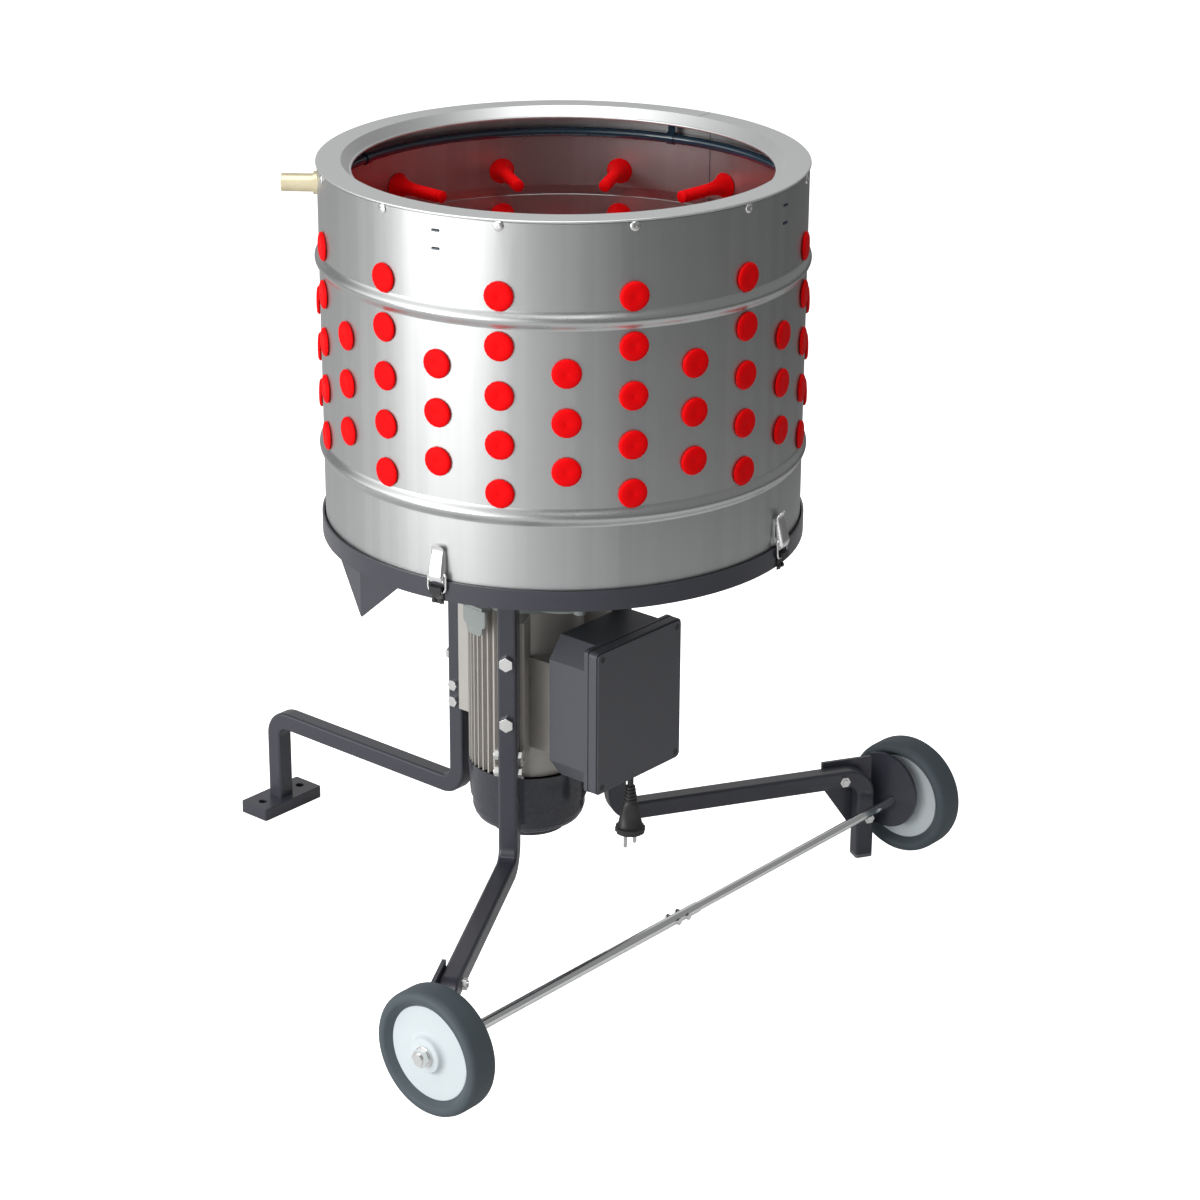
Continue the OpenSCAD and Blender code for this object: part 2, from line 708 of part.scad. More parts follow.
module keeper() {
    wall = ring_r + 0.1;
    lip = bail_bar[0] + bail_r + 1.9;
    side_slab(-8, 16) {
        translate([wall, bail_bar[1] - 16]) square([1.5, 22.5]);
        translate([wall, bail_bar[1] + bail_r + 0.5]) square([lip - wall + 1.8, 4.5]);
        translate([lip, bail_bar[1] - 2.5]) square([1.8, 7]);
    }
    for (side = [-1, 1]) translate([side * 5, wall, bail_bar[1] - 13]) rotate([-90, 0, 0])
        cylinder(h = 3.2, r = 2.75);
}
module latch_keepers() {
    color("#1e1e20") for (az = latch_azs) outwards(az) keeper();
}
module lever_left() { color("#eceded") outwards(latch_azs[0]) lever(); }
module lever_right() { color("#eceded") outwards(latch_azs[1]) lever(); }
module lever_back_right() { color("#eceded") outwards(latch_azs[2]) lever(); }
module lever_back_left() { color("#eceded") outwards(latch_azs[3]) lever(); }
module bail_left() { color("#eceded") outwards(latch_azs[0]) bail(); }
module bail_right() { color("#eceded") outwards(latch_azs[1]) bail(); }
module bail_back_right() { color("#eceded") outwards(latch_azs[2]) bail(); }
module bail_back_left() { color("#eceded") outwards(latch_azs[3]) bail(); }

// Feather plate and its shaft
nut_l = 13;
module plate_shaft() {
    color("#9fa4a8") {
        translate([0, 0, plate_bearing_z]) cylinder(h = plate_top - plate_bearing_z, r = plate_shaft_r);
        translate([0, 0, plate_top]) cylinder(h = nut_l, r = 10);
    }
}
module plate_hole_places() {
    for (p = plate_rings, i = [0:p[1] - 1]) rotate([0, 0, 360 / p[1] * (i + 0.5)])
        translate([p[0], 0, plate_low]) children();
}
module feather_plate() {
    color("#c9cccd") difference() {
        union() {
            translate([0, 0, plate_low]) cylinder(h = plate_t, r = plate_r, $fn = round_fn);
            translate([0, 0, hub_z]) cylinder(h = plate_low - hub_z + sliver, r = plate_hub_r);
        }
        translate([0, 0, hub_z - 1]) cylinder(h = far, r = plate_shaft_r);
        plate_hole_places() translate([0, 0, -1])
            cylinder(h = plate_t + 2, r = finger_neck_r + neck_gap, $fn = 32);
    }
}
module plate_nut() {
    color("#d0d3d5") translate([0, 0, plate_top]) difference() {
        union() {
            hex(17.3, nut_l);
            translate([0, 0, nut_l]) intersection() {
                translate([0, 0, -10]) sphere(r = 17, $fn = 60);
                cylinder(h = 20, r = 14.6);
            }
        }
        translate([0, 0, -1]) cylinder(h = nut_l + 1, r = 10);
    }
}
module plate_fingers() {
    color("#e8191c") plate_hole_places() mirror([0, 0, 1]) finger(plate_t);
}

// Gears with involute teeth
function involute(base, r) = sqrt(pow(r / base, 2) - 1) * 180 / PI - acos(base / r);
function flank(teeth, add, root, side) = let (
    pitch = gear_module * teeth / 2, base = pitch * cos(pressure_angle),
    half = 90 / teeth - tooth_play / 2 / pitch * 180 / PI + involute(base, pitch),
    start = max(base, pitch - root), steps = 5)
    [for (k = [0:steps]) let (r = start + (pitch + add - start) * k / steps)
        [r, side * (half - involute(base, r))]];
module gear_outline(teeth, add, root) {
    low = gear_module * teeth / 2 - root;
    up = flank(teeth, add, root, -1);
    down = flank(teeth, add, root, 1);
    tooth = concat([[low, up[0][1]]], up, [for (k = [5:-1:0]) down[k]], [[low, down[0][1]]]);
    polygon([for (i = [0:teeth - 1], p = tooth)
        p[0] * [cos(p[1] + 360 / teeth * i), sin(p[1] + 360 / teeth * i)]]);
}
module drive_gear() {
    web = 24;
    color("#8d9296") translate([0, 0, gear_z]) rotate([0, 0, foot_dir]) difference() {
        union() {
            linear_extrude(gear_w) gear_outline(gear_teeth, gear_addendum, tooth_root);
            cylinder(h = gear_w + 6, r = web);
        }
        translate([0, 0, -1]) cylinder(h = far, r = plate_shaft_r);
        for (z = [-1, gear_w - 5]) translate([0, 0, z])
            ring(gear_gap * 0.66, web, 6);
    }
}
module pinion() {
    color("#8d9296") at_dir(box_dir + 180 / pinion_teeth) translate([0, 0, gear_z - 1])
        difference() {
            linear_extrude(gear_w + 2) gear_outline(pinion_teeth, pinion_addendum, tooth_root);
            translate([0, 0, -1]) cylinder(h = far, r = pinion_bore_r);
        }
}

// Gear case: a pear-shaped casting over the motor, with the motor's flange beneath it
module case_outline(inset) {
    small = case_gear_r - inset;
    large = case_motor_r - inset;
    lean = asin((large - small) / gear_gap);
    circle(r = small, $fn = round_fn);
    at_motor() circle(r = large, $fn = round_fn);
    at_dir(box_dir) for (side = [-1, 1]) polygon([
        [0, 0], (large - 0.05) * [sin(lean), side * cos(lean)],
        [gear_gap, 0] + (small - 0.05) * [sin(lean), side * cos(lean)], [gear_gap, 0]]);
}
lug_r = 95;
lug_w = 29;
lug_drop = 34;
lug_t = 4;
module lug() {
    translate([case_motor_r - 4, -lug_w / 2, flange_z]) cube([lug_r - case_motor_r + 4, lug_w, 5]);
    translate([lug_r - lug_t, 0, flange_z]) rotate([90, 0, 90]) linear_extrude(lug_t) {
        translate([-lug_w / 2, -lug_drop + 8]) square([lug_w, lug_drop - 3]);
        translate([-lug_w / 2 + 8, -lug_drop]) square([lug_w - 16, lug_drop]);
        for (side = [-1, 1]) translate([side * (lug_w / 2 - 8), -lug_drop + 8]) circle(r = 8);
    }
}
module gear_case() {
    color("#a9b0a8") difference() {
        union() {
            translate([0, 0, case_z]) linear_extrude(case_h) case_outline(0);
            case_screw_places() translate([0, 0, case_z]) cylinder(h = case_h, r = ear_r);
            at_motor() translate([0, 0, flange_z])
                cylinder(h = flange_t + sliver, r = case_motor_r, $fn = round_fn);
            at_dir(lug_dir) lug();
        }
        difference() {
            translate([0, 0, case_z + case_floor]) linear_extrude(case_h) case_outline(case_wall);
            translate([0, 0, case_z])
                cylinder(h = plate_bearing_z + plate_bearing_w + 2 - case_z,
                    r = plate_bearing_r + bearing_wall);
            case_screw_places() translate([0, 0, case_z]) cylinder(h = case_h, r = ear_r);
        }
        translate([0, 0, plate_bearing_z]) cylinder(h = far, r = plate_bearing_r);
        at_motor() {
            translate([0, 0, flange_z - 1])
                cylinder(h = motor_bearing_z + motor_bearing_w - flange_z + 1, r = motor_bearing_r);
            translate([0, 0, flange_z - 1]) cylinder(h = far, r = motor_shaft_r + 2);
        }
        case_screw_places() translate([0, 0, cover_z - case_screw_l])
            cylinder(h = far, r = cross_bolt_r + run_gap);
    }
}
module gear_cover() {
    seal_z = tray_z - 6;
    color("#a9b0a8") difference() {
        union() {
            translate([0, 0, cover_z]) linear_extrude(cover_t) case_outline(0);
            case_screw_places() translate([0, 0, cover_z]) cylinder(h = cover_t, r = ear_r);
            translate([0, 0, top_bearing_z - 1])
                cylinder(h = cover_z - top_bearing_z + 2, r = plate_bearing_r + bearing_wall);
        }
        translate([0, 0, top_bearing_z - 2])
            cylinder(h = plate_bearing_w + 2, r = plate_bearing_r);
        translate([0, 0, top_bearing_z]) cylinder(h = far, r = plate_shaft_r + 3);
        translate([0, 0, seal_z]) cylinder(h = far, r = seal_r + run_gap);
        case_screw_places() translate([0, 0, cover_z - 1])
            cylinder(h = far, r = cross_bolt_r + bolt_gap);
    }
}
seal_r = plate_shaft_r + 7.5;
module shaft_seal() {
    color("#1a1a1a") translate([0, 0, tray_z - 6]) ring(seal_r, plate_shaft_r + run_gap, 8);
}
module bearing(r_out, r_in, w) {
    mid = (r_out + r_in) / 2;
    difference() {
        ring(r_out, r_in + run_gap, w);
        for (z = [-1, w - 1]) translate([0, 0, z]) ring(mid + 3, mid - 3, 2);
    }
}
module bearings() {
    color("#9a9fa3") {
        for (z = [plate_bearing_z, top_bearing_z]) translate([0, 0, z])
            bearing(plate_bearing_r, plate_shaft_r, plate_bearing_w);
        at_motor() for (z = [motor_bearing_z, low_bearing_z]) translate([0, 0, z])
            bearing(motor_bearing_r, motor_shaft_r, motor_bearing_w);
    }
}

// Motor
pedestal_w = 110;
pedestal_z = 268;
pedestal_h = 126;
wire_z = 330;
wire_r = 10;
fin_from = 54;
module pad_bolt_places() {
    for (d = [front_dir, right_dir, foot_dir])
        for (k = [0, 1]) at_dir(d)
            translate([pad_out, 0, pad_bolt_z + k * pad_bolt_gap
                + (d == foot_dir ? foot_lift / 3 : 0)]) rotate([0, 90, 0]) children();
}
module motor_frame() {
    bore_z = low_bearing_z + motor_bearing_w + 4;
    color("#8f9293") difference() {
        union() {
            at_motor() translate([0, 0, motor_z])
                cylinder(h = motor_l, r = motor_r, $fn = round_fn);
            for (a = [fin_from:fin_step:360 - fin_from]) at_dir(box_dir + a)
                translate([motor_r - 2, -fin_t / 2, motor_z + 0.5])
                    cube([fin_out + 2, fin_t, motor_l - 1]);
            for (d = [front_dir, right_dir, foot_dir]) at_dir(d)
                translate([motor_r - 3, -pad_w / 2, pad_z])
                    cube([pad_out - motor_r + 3, pad_w, pad_l - 1]);
            at_dir(box_dir) translate([motor_r - 24, -pedestal_w / 2, pedestal_z])
                cube([box_back - motor_r + 24, pedestal_w, pedestal_h]);
        }
        at_motor() {
            translate([0, 0, bore_z])
                cylinder(h = far, r = motor_r - motor_wall, $fn = round_fn);
            translate([0, 0, low_bearing_z]) cylinder(h = far, r = motor_bearing_r);
            translate([0, 0, motor_z - 1]) cylinder(h = far, r = motor_shaft_r + 2);
        }
        at_dir(box_dir) translate([motor_r - 10, 0, wire_z]) rotate([0, 90, 0])
            cylinder(h = far, r = wire_r);
        pad_bolt_places() translate([0, 0, -20]) cylinder(h = 30, r = pad_bolt_r + run_gap);
    }
}
stator_z = motor_z + 42;
stator_l = 130;
stator_r = 45;
module motor_stator() {
    outer = motor_r - motor_wall - run_gap;
    color("#8a4b2a") at_motor() translate([0, 0, stator_z]) {
        ring(outer, stator_r, stator_l);
        for (z = [-10, stator_l]) translate([0, 0, z])
            ring(outer - 6, stator_r + 4, 10);
    }
}
module motor_rotor() {
    top = gear_z - 4;
    low = cowl_z + 62;
    color("#8f9497") at_motor() {
        translate([0, 0, low]) cylinder(h = top - low, r = motor_shaft_r);
        translate([0, 0, top - sliver]) cylinder(h = gear_w + 6, r = pinion_bore_r);
        translate([0, 0, stator_z]) cylinder(h = stator_l, r = stator_r - 1, $fn = round_fn);
    }
}
fan_blades = 8;
fan_r = 60;
module cooling_fan() {
    color("#20262b") at_motor() translate([0, 0, cowl_z + 60]) difference() {
        union() {
            cylinder(h = 24, r = motor_shaft_r + 6);
            translate([0, 0, 20]) cylinder(h = 3, r = fan_r);
            for (i = [0:fan_blades - 1]) rotate([0, 0, 360 / fan_blades * i])
                translate([motor_shaft_r + 3, -1.2, 2])
                    cube([fan_r - motor_shaft_r - 4, 2.4, 20]);
        }
        translate([0, 0, -1]) cylinder(h = far, r = motor_shaft_r);
    }
}
// Fan cowl: a straight-sided cup with a stepped joint, a round shoulder and a flat grille
module cowl_outline(inset, top) {
    r = case_motor_r - inset;
    polygon([[0, inset], [r - 30, inset], [r - 30, 3 + inset], [r - 20, 9 + inset * 0.6],
        [r - 12, 14 + inset * 0.4], [r - 8, 20], [r - 5.5, 28], [r - 5.5, 43],
        [r - 2.5, 45], [r, cowl_h], [r, cowl_h + top], [0, cowl_h + top]]);
}
grille_rings = [[14, 6], [25, 12], [36, 18]];
module fan_cowl() {
    color("#1f2022") at_motor() translate([0, 0, cowl_z]) difference() {
        rotate_extrude($fn = round_fn) cowl_outline(0, 0);
        rotate_extrude($fn = round_fn) cowl_outline(cowl_wall, 1);
        for (p = grille_rings, i = [0:p[1] - 1]) rotate([0, 0, 360 / p[1] * i])
            translate([p[0], 0, -1]) cylinder(h = 10, r = 3.2, $fn = 20);
    }
}

// Control box, drawn with its depth along X and its width along Y
box_front = box_back + box_d;
lid_front = box_front + lid_gasket_t + lid_t;
lid_screw_y = box_w / 2 - 10;
lid_screw_z = box_h / 2 - 10;
module box_place() { at_dir(box_dir) translate([0, 0, box_z + box_h / 2]) children(); }
module box_section(inset) {
    w = box_w / 2 - inset;
    h = box_h / 2 - inset;
    polygon([[w, h - box_slope_h], [w - box_slope_w, h], [box_slope_w - w, h],
        [-w, h - box_slope_h], [-w, box_slope_h - h], [box_slope_w - w, -h],
        [w - box_slope_w, -h], [w, box_slope_h - h]]);
}
module rounded(w, h, r) {
    square([w - 2 * r, h], center = true);
    square([w, h - 2 * r], center = true);
    for (x = [-1, 1], y = [-1, 1]) translate([x * (w / 2 - r), y * (h / 2 - r)]) circle(r = r);
}
module plate_yz(x, t) { translate([x, 0, 0]) rotate([90, 0, 90]) linear_extrude(t) children(); }
module lid_screw_places() {
    for (y = [-1, 1], z = [-1, 1]) translate([lid_front, y * lid_screw_y, z * lid_screw_z])
        rotate([0, 90, 0]) children();
}
grommet_r = cord_r + 4;
module grommet_place() { translate([cord_out, cord_side, -box_h / 2]) children(); }
module box_body() {
    color("#2f3133") box_place() difference() {
        union() {
            plate_yz(box_back, box_d) box_section(0);
            plate_yz(box_front - 6, 6) rounded(box_w, box_h, 6);
        }
        plate_yz(box_back + box_wall, box_d) box_section(box_wall);
        translate([box_back - 1, 0, wire_z - box_z - box_h / 2]) rotate([0, 90, 0])
            cylinder(h = box_wall + 2, r = wire_r);
        grommet_place() translate([0, 0, -1]) cylinder(h = box_wall + 2, r = grommet_r + bolt_gap);
        lid_screw_places() translate([0, 0, -lid_t - lid_gasket_t - 6 - 1])
            cylinder(h = 20, r = 2 + run_gap);
    }
}
module lid_gasket() {
    color("#141414") box_place() plate_yz(box_front, lid_gasket_t) difference() {
        rounded(box_w - 2, box_h - 2, 6);
        box_section(box_wall);
        for (y = [-1, 1], z = [-1, 1]) translate([y * lid_screw_y, z * lid_screw_z])
            circle(r = 2.5);
    }
}
module box_lid() {
    color("#37393b") box_place() difference() {
        union() {
            plate_yz(lid_front - lid_t, lid_t - 2) rounded(box_w, box_h, 7);
            plate_yz(lid_front - 2 - sliver, 2) rounded(box_w - 4, box_h - 4, 6);
        }
        plate_yz(lid_front - lid_t - 1, lid_t - 3) box_section(box_wall + 2);
        lid_screw_places() {
            translate([0, 0, -far / 2]) cylinder(h = far, r = 2 + bolt_gap);
            translate([0, 0, -3]) cylinder(h = far, r = 4.2);
        }
    }
}
module lid_screws() {
    color("#1b1b1b") box_place() lid_screw_places() translate([0, 0, -3]) {
        cylinder(h = 2.6, r = 4);
        translate([0, 0, -16]) cylinder(h = 16 + sliver, r = 2);
    }
}
module contactor() {
    color("#d8d5cc") box_place() translate([box_back + box_wall, -62, -42]) {
        cube([40, 56, 72]);
        translate([40 - sliver, 6, 8]) cube([8, 44, 56]);
    }
}
capacitor_r = 20;
module run_capacitor() {
    color("#c9cdd0") box_place() translate([box_back + box_wall + capacitor_r, 30, -52]) {
        cylinder(h = 96, r = capacitor_r);
        translate([0, 0, 96 - sliver]) cylinder(h = 8, r = 6);
    }
}
module cord_grommet() {
    color("#1c1c1c") box_place() grommet_place() difference() {
        union() {
            translate([0, 0, -3]) cylinder(h = 3, r = grommet_r + 3);
            cylinder(h = box_wall, r = grommet_r);
            translate([0, 0, box_wall]) cylinder(h = 5, r = grommet_r + 3);
        }
        translate([0, 0, -1]) cylinder(h = far, r = cord_r + 0.1);
    }
}

// Mains lead and plug
function swept_ring(p) = [for (a = [0:30:330]) p + cord_r * [cos(a), sin(a), 0]];
function swept_side(i, n) = [for (k = [0:n - 1])
    [i * n + k, i * n + (k + 1) % n, (i + 1) * n + (k + 1) % n, (i + 1) * n + k]];
module swept_tube(route) {
    n = 12;
    last = len(route) - 1;
    polyhedron(points = [for (p = route) each swept_ring(p)],
        faces = concat([[for (k = [n - 1:-1:0]) k]],
            [for (i = [0:last - 1]) each swept_side(i, n)],
            [[for (k = [0:n - 1]) last * n + k]]));
}
module lead_place() { at_dir(box_dir) translate([cord_out, cord_side, 0]) children(); }
module mains_cord() { color("#161616") lead_place() swept_tube(cord_route); }
relief_l = 23;
module plug_body() {
    steps = 4;
    step = relief_l / steps;
    color("#1a1a1b") lead_place() difference() {
        union() {
            translate([0, 0, plug_top - relief_l]) rotate_extrude() polygon(concat([[0, 0]],
                [for (i = [0:steps - 1]) each [
                    [plug_r * (0.46 - 0.035 * i), i * step],
                    [plug_r * (0.46 - 0.035 * i), (i + 0.6) * step],
                    [plug_r * (0.38 - 0.035 * i), (i + 0.7) * step],
                    [plug_r * (0.38 - 0.035 * i), (i + 1) * step]]],
                [[0, relief_l]]));
            translate([0, 0, plug_low]) rotate_extrude() polygon([[0, 0], [plug_r - 1, 0],
                [plug_r, 1], [plug_r, 5], [plug_r - 2, 8], [plug_r - 2.5, 14],
                [plug_r - 5, 24], [plug_r - 8, 34], [plug_r - 10, 44 + sliver],
                [0, 44 + sliver]]);
        }
        translate([0, 0, plug_top - cord_in_plug]) cylinder(h = far, r = cord_r + 0.1);
        plug_pin_places() translate([0, 0, -far / 2 + 10])
            cylinder(h = far / 2, r = plug_pin_r);
        for (side = [-1, 1]) rotate([0, 0, 45]) translate([side * plug_r, 0, plug_low - 1])
            cylinder(h = 16, r = 2.6);
    }
}
module plug_pin_places() {
    for (side = [-1, 1]) translate([0, side * plug_pin_gap / 2, plug_low]) children();
}
module plug_pins() {
    color("#d5d7d9") lead_place() plug_pin_places() {
        translate([0, 0, 1 - plug_pin_l]) cylinder(h = plug_pin_l + 9, r = plug_pin_r);
        translate([0, 0, -plug_pin_l]) cylinder(h = 1.01, r1 = plug_pin_r - 0.8, r2 = plug_pin_r);
    }
}

// Legs, drawn with their reach along X
module tube_outline() {
    difference() {
        rounded(leg_w, leg_w, leg_corner);
        rounded(leg_w - 2 * leg_wall, leg_w - 2 * leg_wall, leg_corner - leg_wall);
    }
}
module tube_bend(turn) {
    rotate([90, 0, 0]) rotate([0, 0, turn]) rotate_extrude(angle = 90, $fn = 96)
        translate([leg_bend, 0]) tube_outline();
}
module leg(reach, level, end) {
    top = tray_z - leg_plate_t;
    translate([leg_mid, 0, level + leg_bend]) linear_extrude(top - level - leg_bend)
        tube_outline();
    translate([leg_mid + leg_bend, 0, level + leg_bend]) tube_bend(180);
    translate([leg_mid + leg_bend, 0, level]) rotate([90, 0, 90])
        linear_extrude(reach - leg_mid - 2 * leg_bend) tube_outline();
    translate([reach - leg_bend, 0, level - leg_bend]) tube_bend(0);
    translate([reach, 0, end]) linear_extrude(level - leg_bend - end) tube_outline();
    translate([leg_mid, 0, top + leg_plate_t / 2])
        cube([leg_plate_w, leg_plate_l, leg_plate_t], center = true);
}
module drilled_leg(d, reach, level, end) {
    lift = level - leg_low_z;
    color("#232427") difference() {
        at_dir(d) difference() {
            leg(reach, level, end);
            for (side = [-1, 1])
                translate([leg_mid, side * leg_plate_bolt, tray_z - leg_plate_t - 1])
                    cylinder(h = leg_plate_t + 2, r = cross_bolt_r + bolt_gap);
            for (k = [0, 1])
                translate([leg_mid, 0, cross_bolt_z + (lift > 0 ? 16 : 0) - k * cross_bolt_gap])
                    rotate([90, 0, 0]) cylinder(h = 2 * leg_w, r = cross_bolt_r + bolt_gap,
                        center = true);
            if (lift == 0) for (p = bracket_bolts_at) translate([p[0], 0, p[1]])
                rotate([90, 0, 0]) cylinder(h = 2 * leg_w, r = cross_bolt_r + bolt_gap,
                    center = true);
        }
        pad_bolt_places() cylinder(h = 2 * leg_w, r = pad_bolt_r + bolt_gap);
    }
}
bracket_bolts_at = [[leg_reach - 35, leg_low_z], [leg_reach + 3, leg_low_z - 60.6]];
module leg_front() { drilled_leg(front_dir, leg_reach, leg_low_z, cap_t); }
module leg_right() { drilled_leg(right_dir, leg_reach, leg_low_z, cap_t); }
module leg_foot() { drilled_leg(foot_dir, foot_reach, foot_leg_z, foot_t); }
module leg_caps() {
    inner = leg_w - 2 * leg_wall - 0.2;
    color("#8b8f92") for (d = [front_dir, right_dir]) at_dir(d) translate([leg_reach, 0, 0]) {
        linear_extrude(cap_t) rounded(leg_w, leg_w, leg_corner);
        linear_extrude(cap_t + 12) rounded(inner, inner, leg_corner - leg_wall);
    }
}
module foot_plate() {
    color("#35373a") at_dir(foot_dir) translate([foot_reach, 0, 0]) difference() {
        linear_extrude(foot_t) rounded(foot_w, foot_l, 3);
        for (side = [-1, 1]) translate([0, side * foot_holes / 2, -1])
            cylinder(h = foot_t + 2, r = foot_hole_r);
    }
}
module frame_bolts() {
    wall = leg_w / 2;
    color("#c5c6c2") {
        pad_bolt_places() translate([0, 0, leg_w]) hex_bolt(pad_bolt_r, leg_w + 18);
        leg_plate_places() {
            translate([0, 0, tray_z + tray_floor]) hex_bolt(cross_bolt_r, 20);
            translate([0, 0, tray_z - leg_plate_t]) mirror([0, 0, 1]) hex_nut(cross_bolt_r);
        }
        case_screw_places() translate([0, 0, tray_z + tray_floor])
            hex_bolt(cross_bolt_r, cover_t + case_screw_l - 2);
        for (d = [front_dir, right_dir, foot_dir]) at_dir(d) for (k = [0, 1])
            translate([leg_mid, 0, cross_bolt_z + (d == foot_dir ? 16 : 0) - k * cross_bolt_gap]) {
                translate([0, wall, 0]) rotate([-90, 0, 0])
                    hex_bolt(cross_bolt_r, leg_w + 2 * cross_bolt_r);
                translate([0, -wall, 0]) rotate([90, 0, 0]) hex_nut(cross_bolt_r);
            }
    }
}

// Wheel brackets: a flange on the leg's side, bent to carry the axle
round_v = axle_v - 15;
round_z = axle_z + 11.5;
round_r = 54;
bracket_rise = 19;
bracket_drop = 80;
module bracket_flange() {
    translate([0, flange_side, 0]) rotate([90, 0, 0]) linear_extrude(bracket_t)
        polygon([[leg_reach - 57, leg_low_z + bracket_rise],
            [corner_r - 0.5, leg_low_z + bracket_rise],
            [corner_r - 0.5, leg_low_z - bracket_drop], [leg_reach - 14, leg_low_z - bracket_drop],
            [leg_reach - 57, leg_low_z - 17]]);
}
module axle_plate(hole_r) {
    translate([0, bracket_out, 0]) rotate([90, 0, 0]) linear_extrude(bracket_t)
        difference() {
            intersection() {
                union() {
                    translate([round_v, round_z]) circle(r = round_r, $fn = 72);
                    translate([corner_v, leg_low_z - bracket_drop + 1])
                        square([round_v - corner_v, bracket_drop + bracket_rise]);
                }
                translate([corner_v, 0]) square(far);
            }
            translate([axle_v, axle_z]) circle(r = hole_r);
        }
}
module bracket_hole_places() {
    for (p = bracket_bolts_at) translate([p[0], flange_side, p[1]]) rotate([-90, 0, 0]) children();
}
module bracket(side, hole_r) {
    difference() {
        union() {
            at_dir(box_dir + 60 * side) mirror([0, (1 - side) / 2, 0]) bracket_flange();
            at_dir(box_dir) mirror([0, (1 - side) / 2, 0]) axle_plate(hole_r);
        }
        at_dir(box_dir + 60 * side) mirror([0, (1 - side) / 2, 0]) bracket_hole_places()
            cylinder(h = 20, r = cross_bolt_r + bolt_gap, center = true);
    }
}
module wheel_brackets() {
    color("#35373a") {
        bracket(1, axle_rod_r + bolt_gap);
        bracket(-1, axle_tube_r + bolt_gap);
    }
}
module bracket_bolts() {
    color("#c5c6c2") for (side = [-1, 1])
        at_dir(box_dir + 60 * side) mirror([0, (1 - side) / 2, 0]) bracket_hole_places() {
            hex_bolt(cross_bolt_r, leg_w + bracket_t + 2 * cross_bolt_r);
            translate([0, 0, -leg_w - bracket_t]) mirror([0, 0, 1]) hex_nut(cross_bolt_r);
        }
}

// Axle: a tube from the front wheel that takes a rod from the right wheel
tube_end = 15;
rod_start = 62;
pin_us = [-32, -13];
pin_r = 2.5;
module pin_places() {
    at_dir(box_dir) for (u = pin_us) translate([axle_v, u, axle_z]) rotate([0, 90, 0]) children();
}
module axle_tube() {
    color("#3b3d40") difference() {
        wheel_axis(-1) translate([0, 0, -tube_end]) difference() {
            cylinder(h = axle_end + tube_end, r = axle_tube_r);
            translate([0, 0, -1]) cylinder(h = axle_end + tube_end - 20, r = axle_rod_r + run_gap);
        }
        pin_places() cylinder(h = 60, r = pin_r + bolt_gap, center = true);
    }
}
module axle_rod() {
    color("#5a5d60") difference() {
        wheel_axis(1) translate([0, 0, -rod_start])
            cylinder(h = axle_end + rod_start, r = axle_rod_r);
        pin_places() cylinder(h = 60, r = pin_r + bolt_gap, center = true);
    }
}
module axle_stack(r) {
    translate([0, 0, bracket_out]) ring(r + 4, r + run_gap, spacer_w);
    translate([0, 0, wheel_out]) ring(r + 6, r + run_gap, 2);
    translate([0, 0, wheel_out + 2]) difference() {
        hex(r + 4.5, 8);
        translate([0, 0, -1]) cylinder(h = 20, r = r + run_gap);
    }
}
module axle_nuts() {
    color("#6a6d70") {
        wheel_axis(1) axle_stack(axle_rod_r);
        wheel_axis(-1) axle_stack(axle_tube_r);
        pin_places() {
            translate([0, 0, axle_tube_r]) hex_bolt(pin_r, 2 * axle_tube_r + 5);
            translate([0, 0, -axle_tube_r]) mirror([0, 0, 1]) hex_nut(pin_r);
        }
    }
}
module hub_outline(bore) {
    half = wheel_w / 2;
    rim = half - 4;
    web = half - 9.6;
    polygon([[bore, -half + side_gap], [boss_r - 2, -half + side_gap],
        [boss_r, -half + 2], [boss_r + 3, -web], [hub_r - 6, -web], [hub_r - 3.5, -rim],
        [hub_r, -rim], [hub_r, -rim + 5], [hub_r - 2.5, -rim + 7], [hub_r - 2.5, rim - 7],
        [hub_r, rim - 5], [hub_r, rim], [hub_r - 3.5, rim], [hub_r - 6, web],
        [boss_r + 3, web], [boss_r, half - 2], [boss_r - 2, half - side_gap],
        [bore, half - side_gap]]);
}
module tyre_outline() {
    half = wheel_w / 2;
    rim = half - 4;
    difference() {
        union() {
            translate([hub_r, -half + tyre_edge])
                square([wheel_r - hub_r, wheel_w - 2 * tyre_edge]);
            translate([hub_r - 2, -half]) square([wheel_r - tyre_edge - hub_r + 2, wheel_w]);
            for (side = [-1, 1])
                translate([wheel_r - tyre_edge, side * (half - tyre_edge)]) circle(r = tyre_edge);
            translate([hub_r - 2.5, -rim + 7]) square([4, 2 * rim - 14]);
        }
        translate([hub_r - 4, -rim - sliver]) square([4, 7 + sliver]);
        translate([hub_r - 4, rim - 7]) square([4, 7 + sliver]);
        for (side = [-1, 1]) translate([hub_r + 10, side * half]) circle(r = 1.5);
    }
}
module hub(side, bore) {
    color("#c8d3df") wheel_axis(side) translate([0, 0, wheel_u]) rotate_extrude($fn = 96)
        hub_outline(bore + run_gap);
}
module tyre(side) {
    color("#6b6e72") wheel_axis(side) translate([0, 0, wheel_u]) rotate_extrude($fn = 96)
        tyre_outline();
}
module hub_front() { hub(-1, axle_tube_r); }
module tyre_front() { tyre(-1); }
module hub_right() { hub(1, axle_rod_r); }
module tyre_right() { tyre(1); }

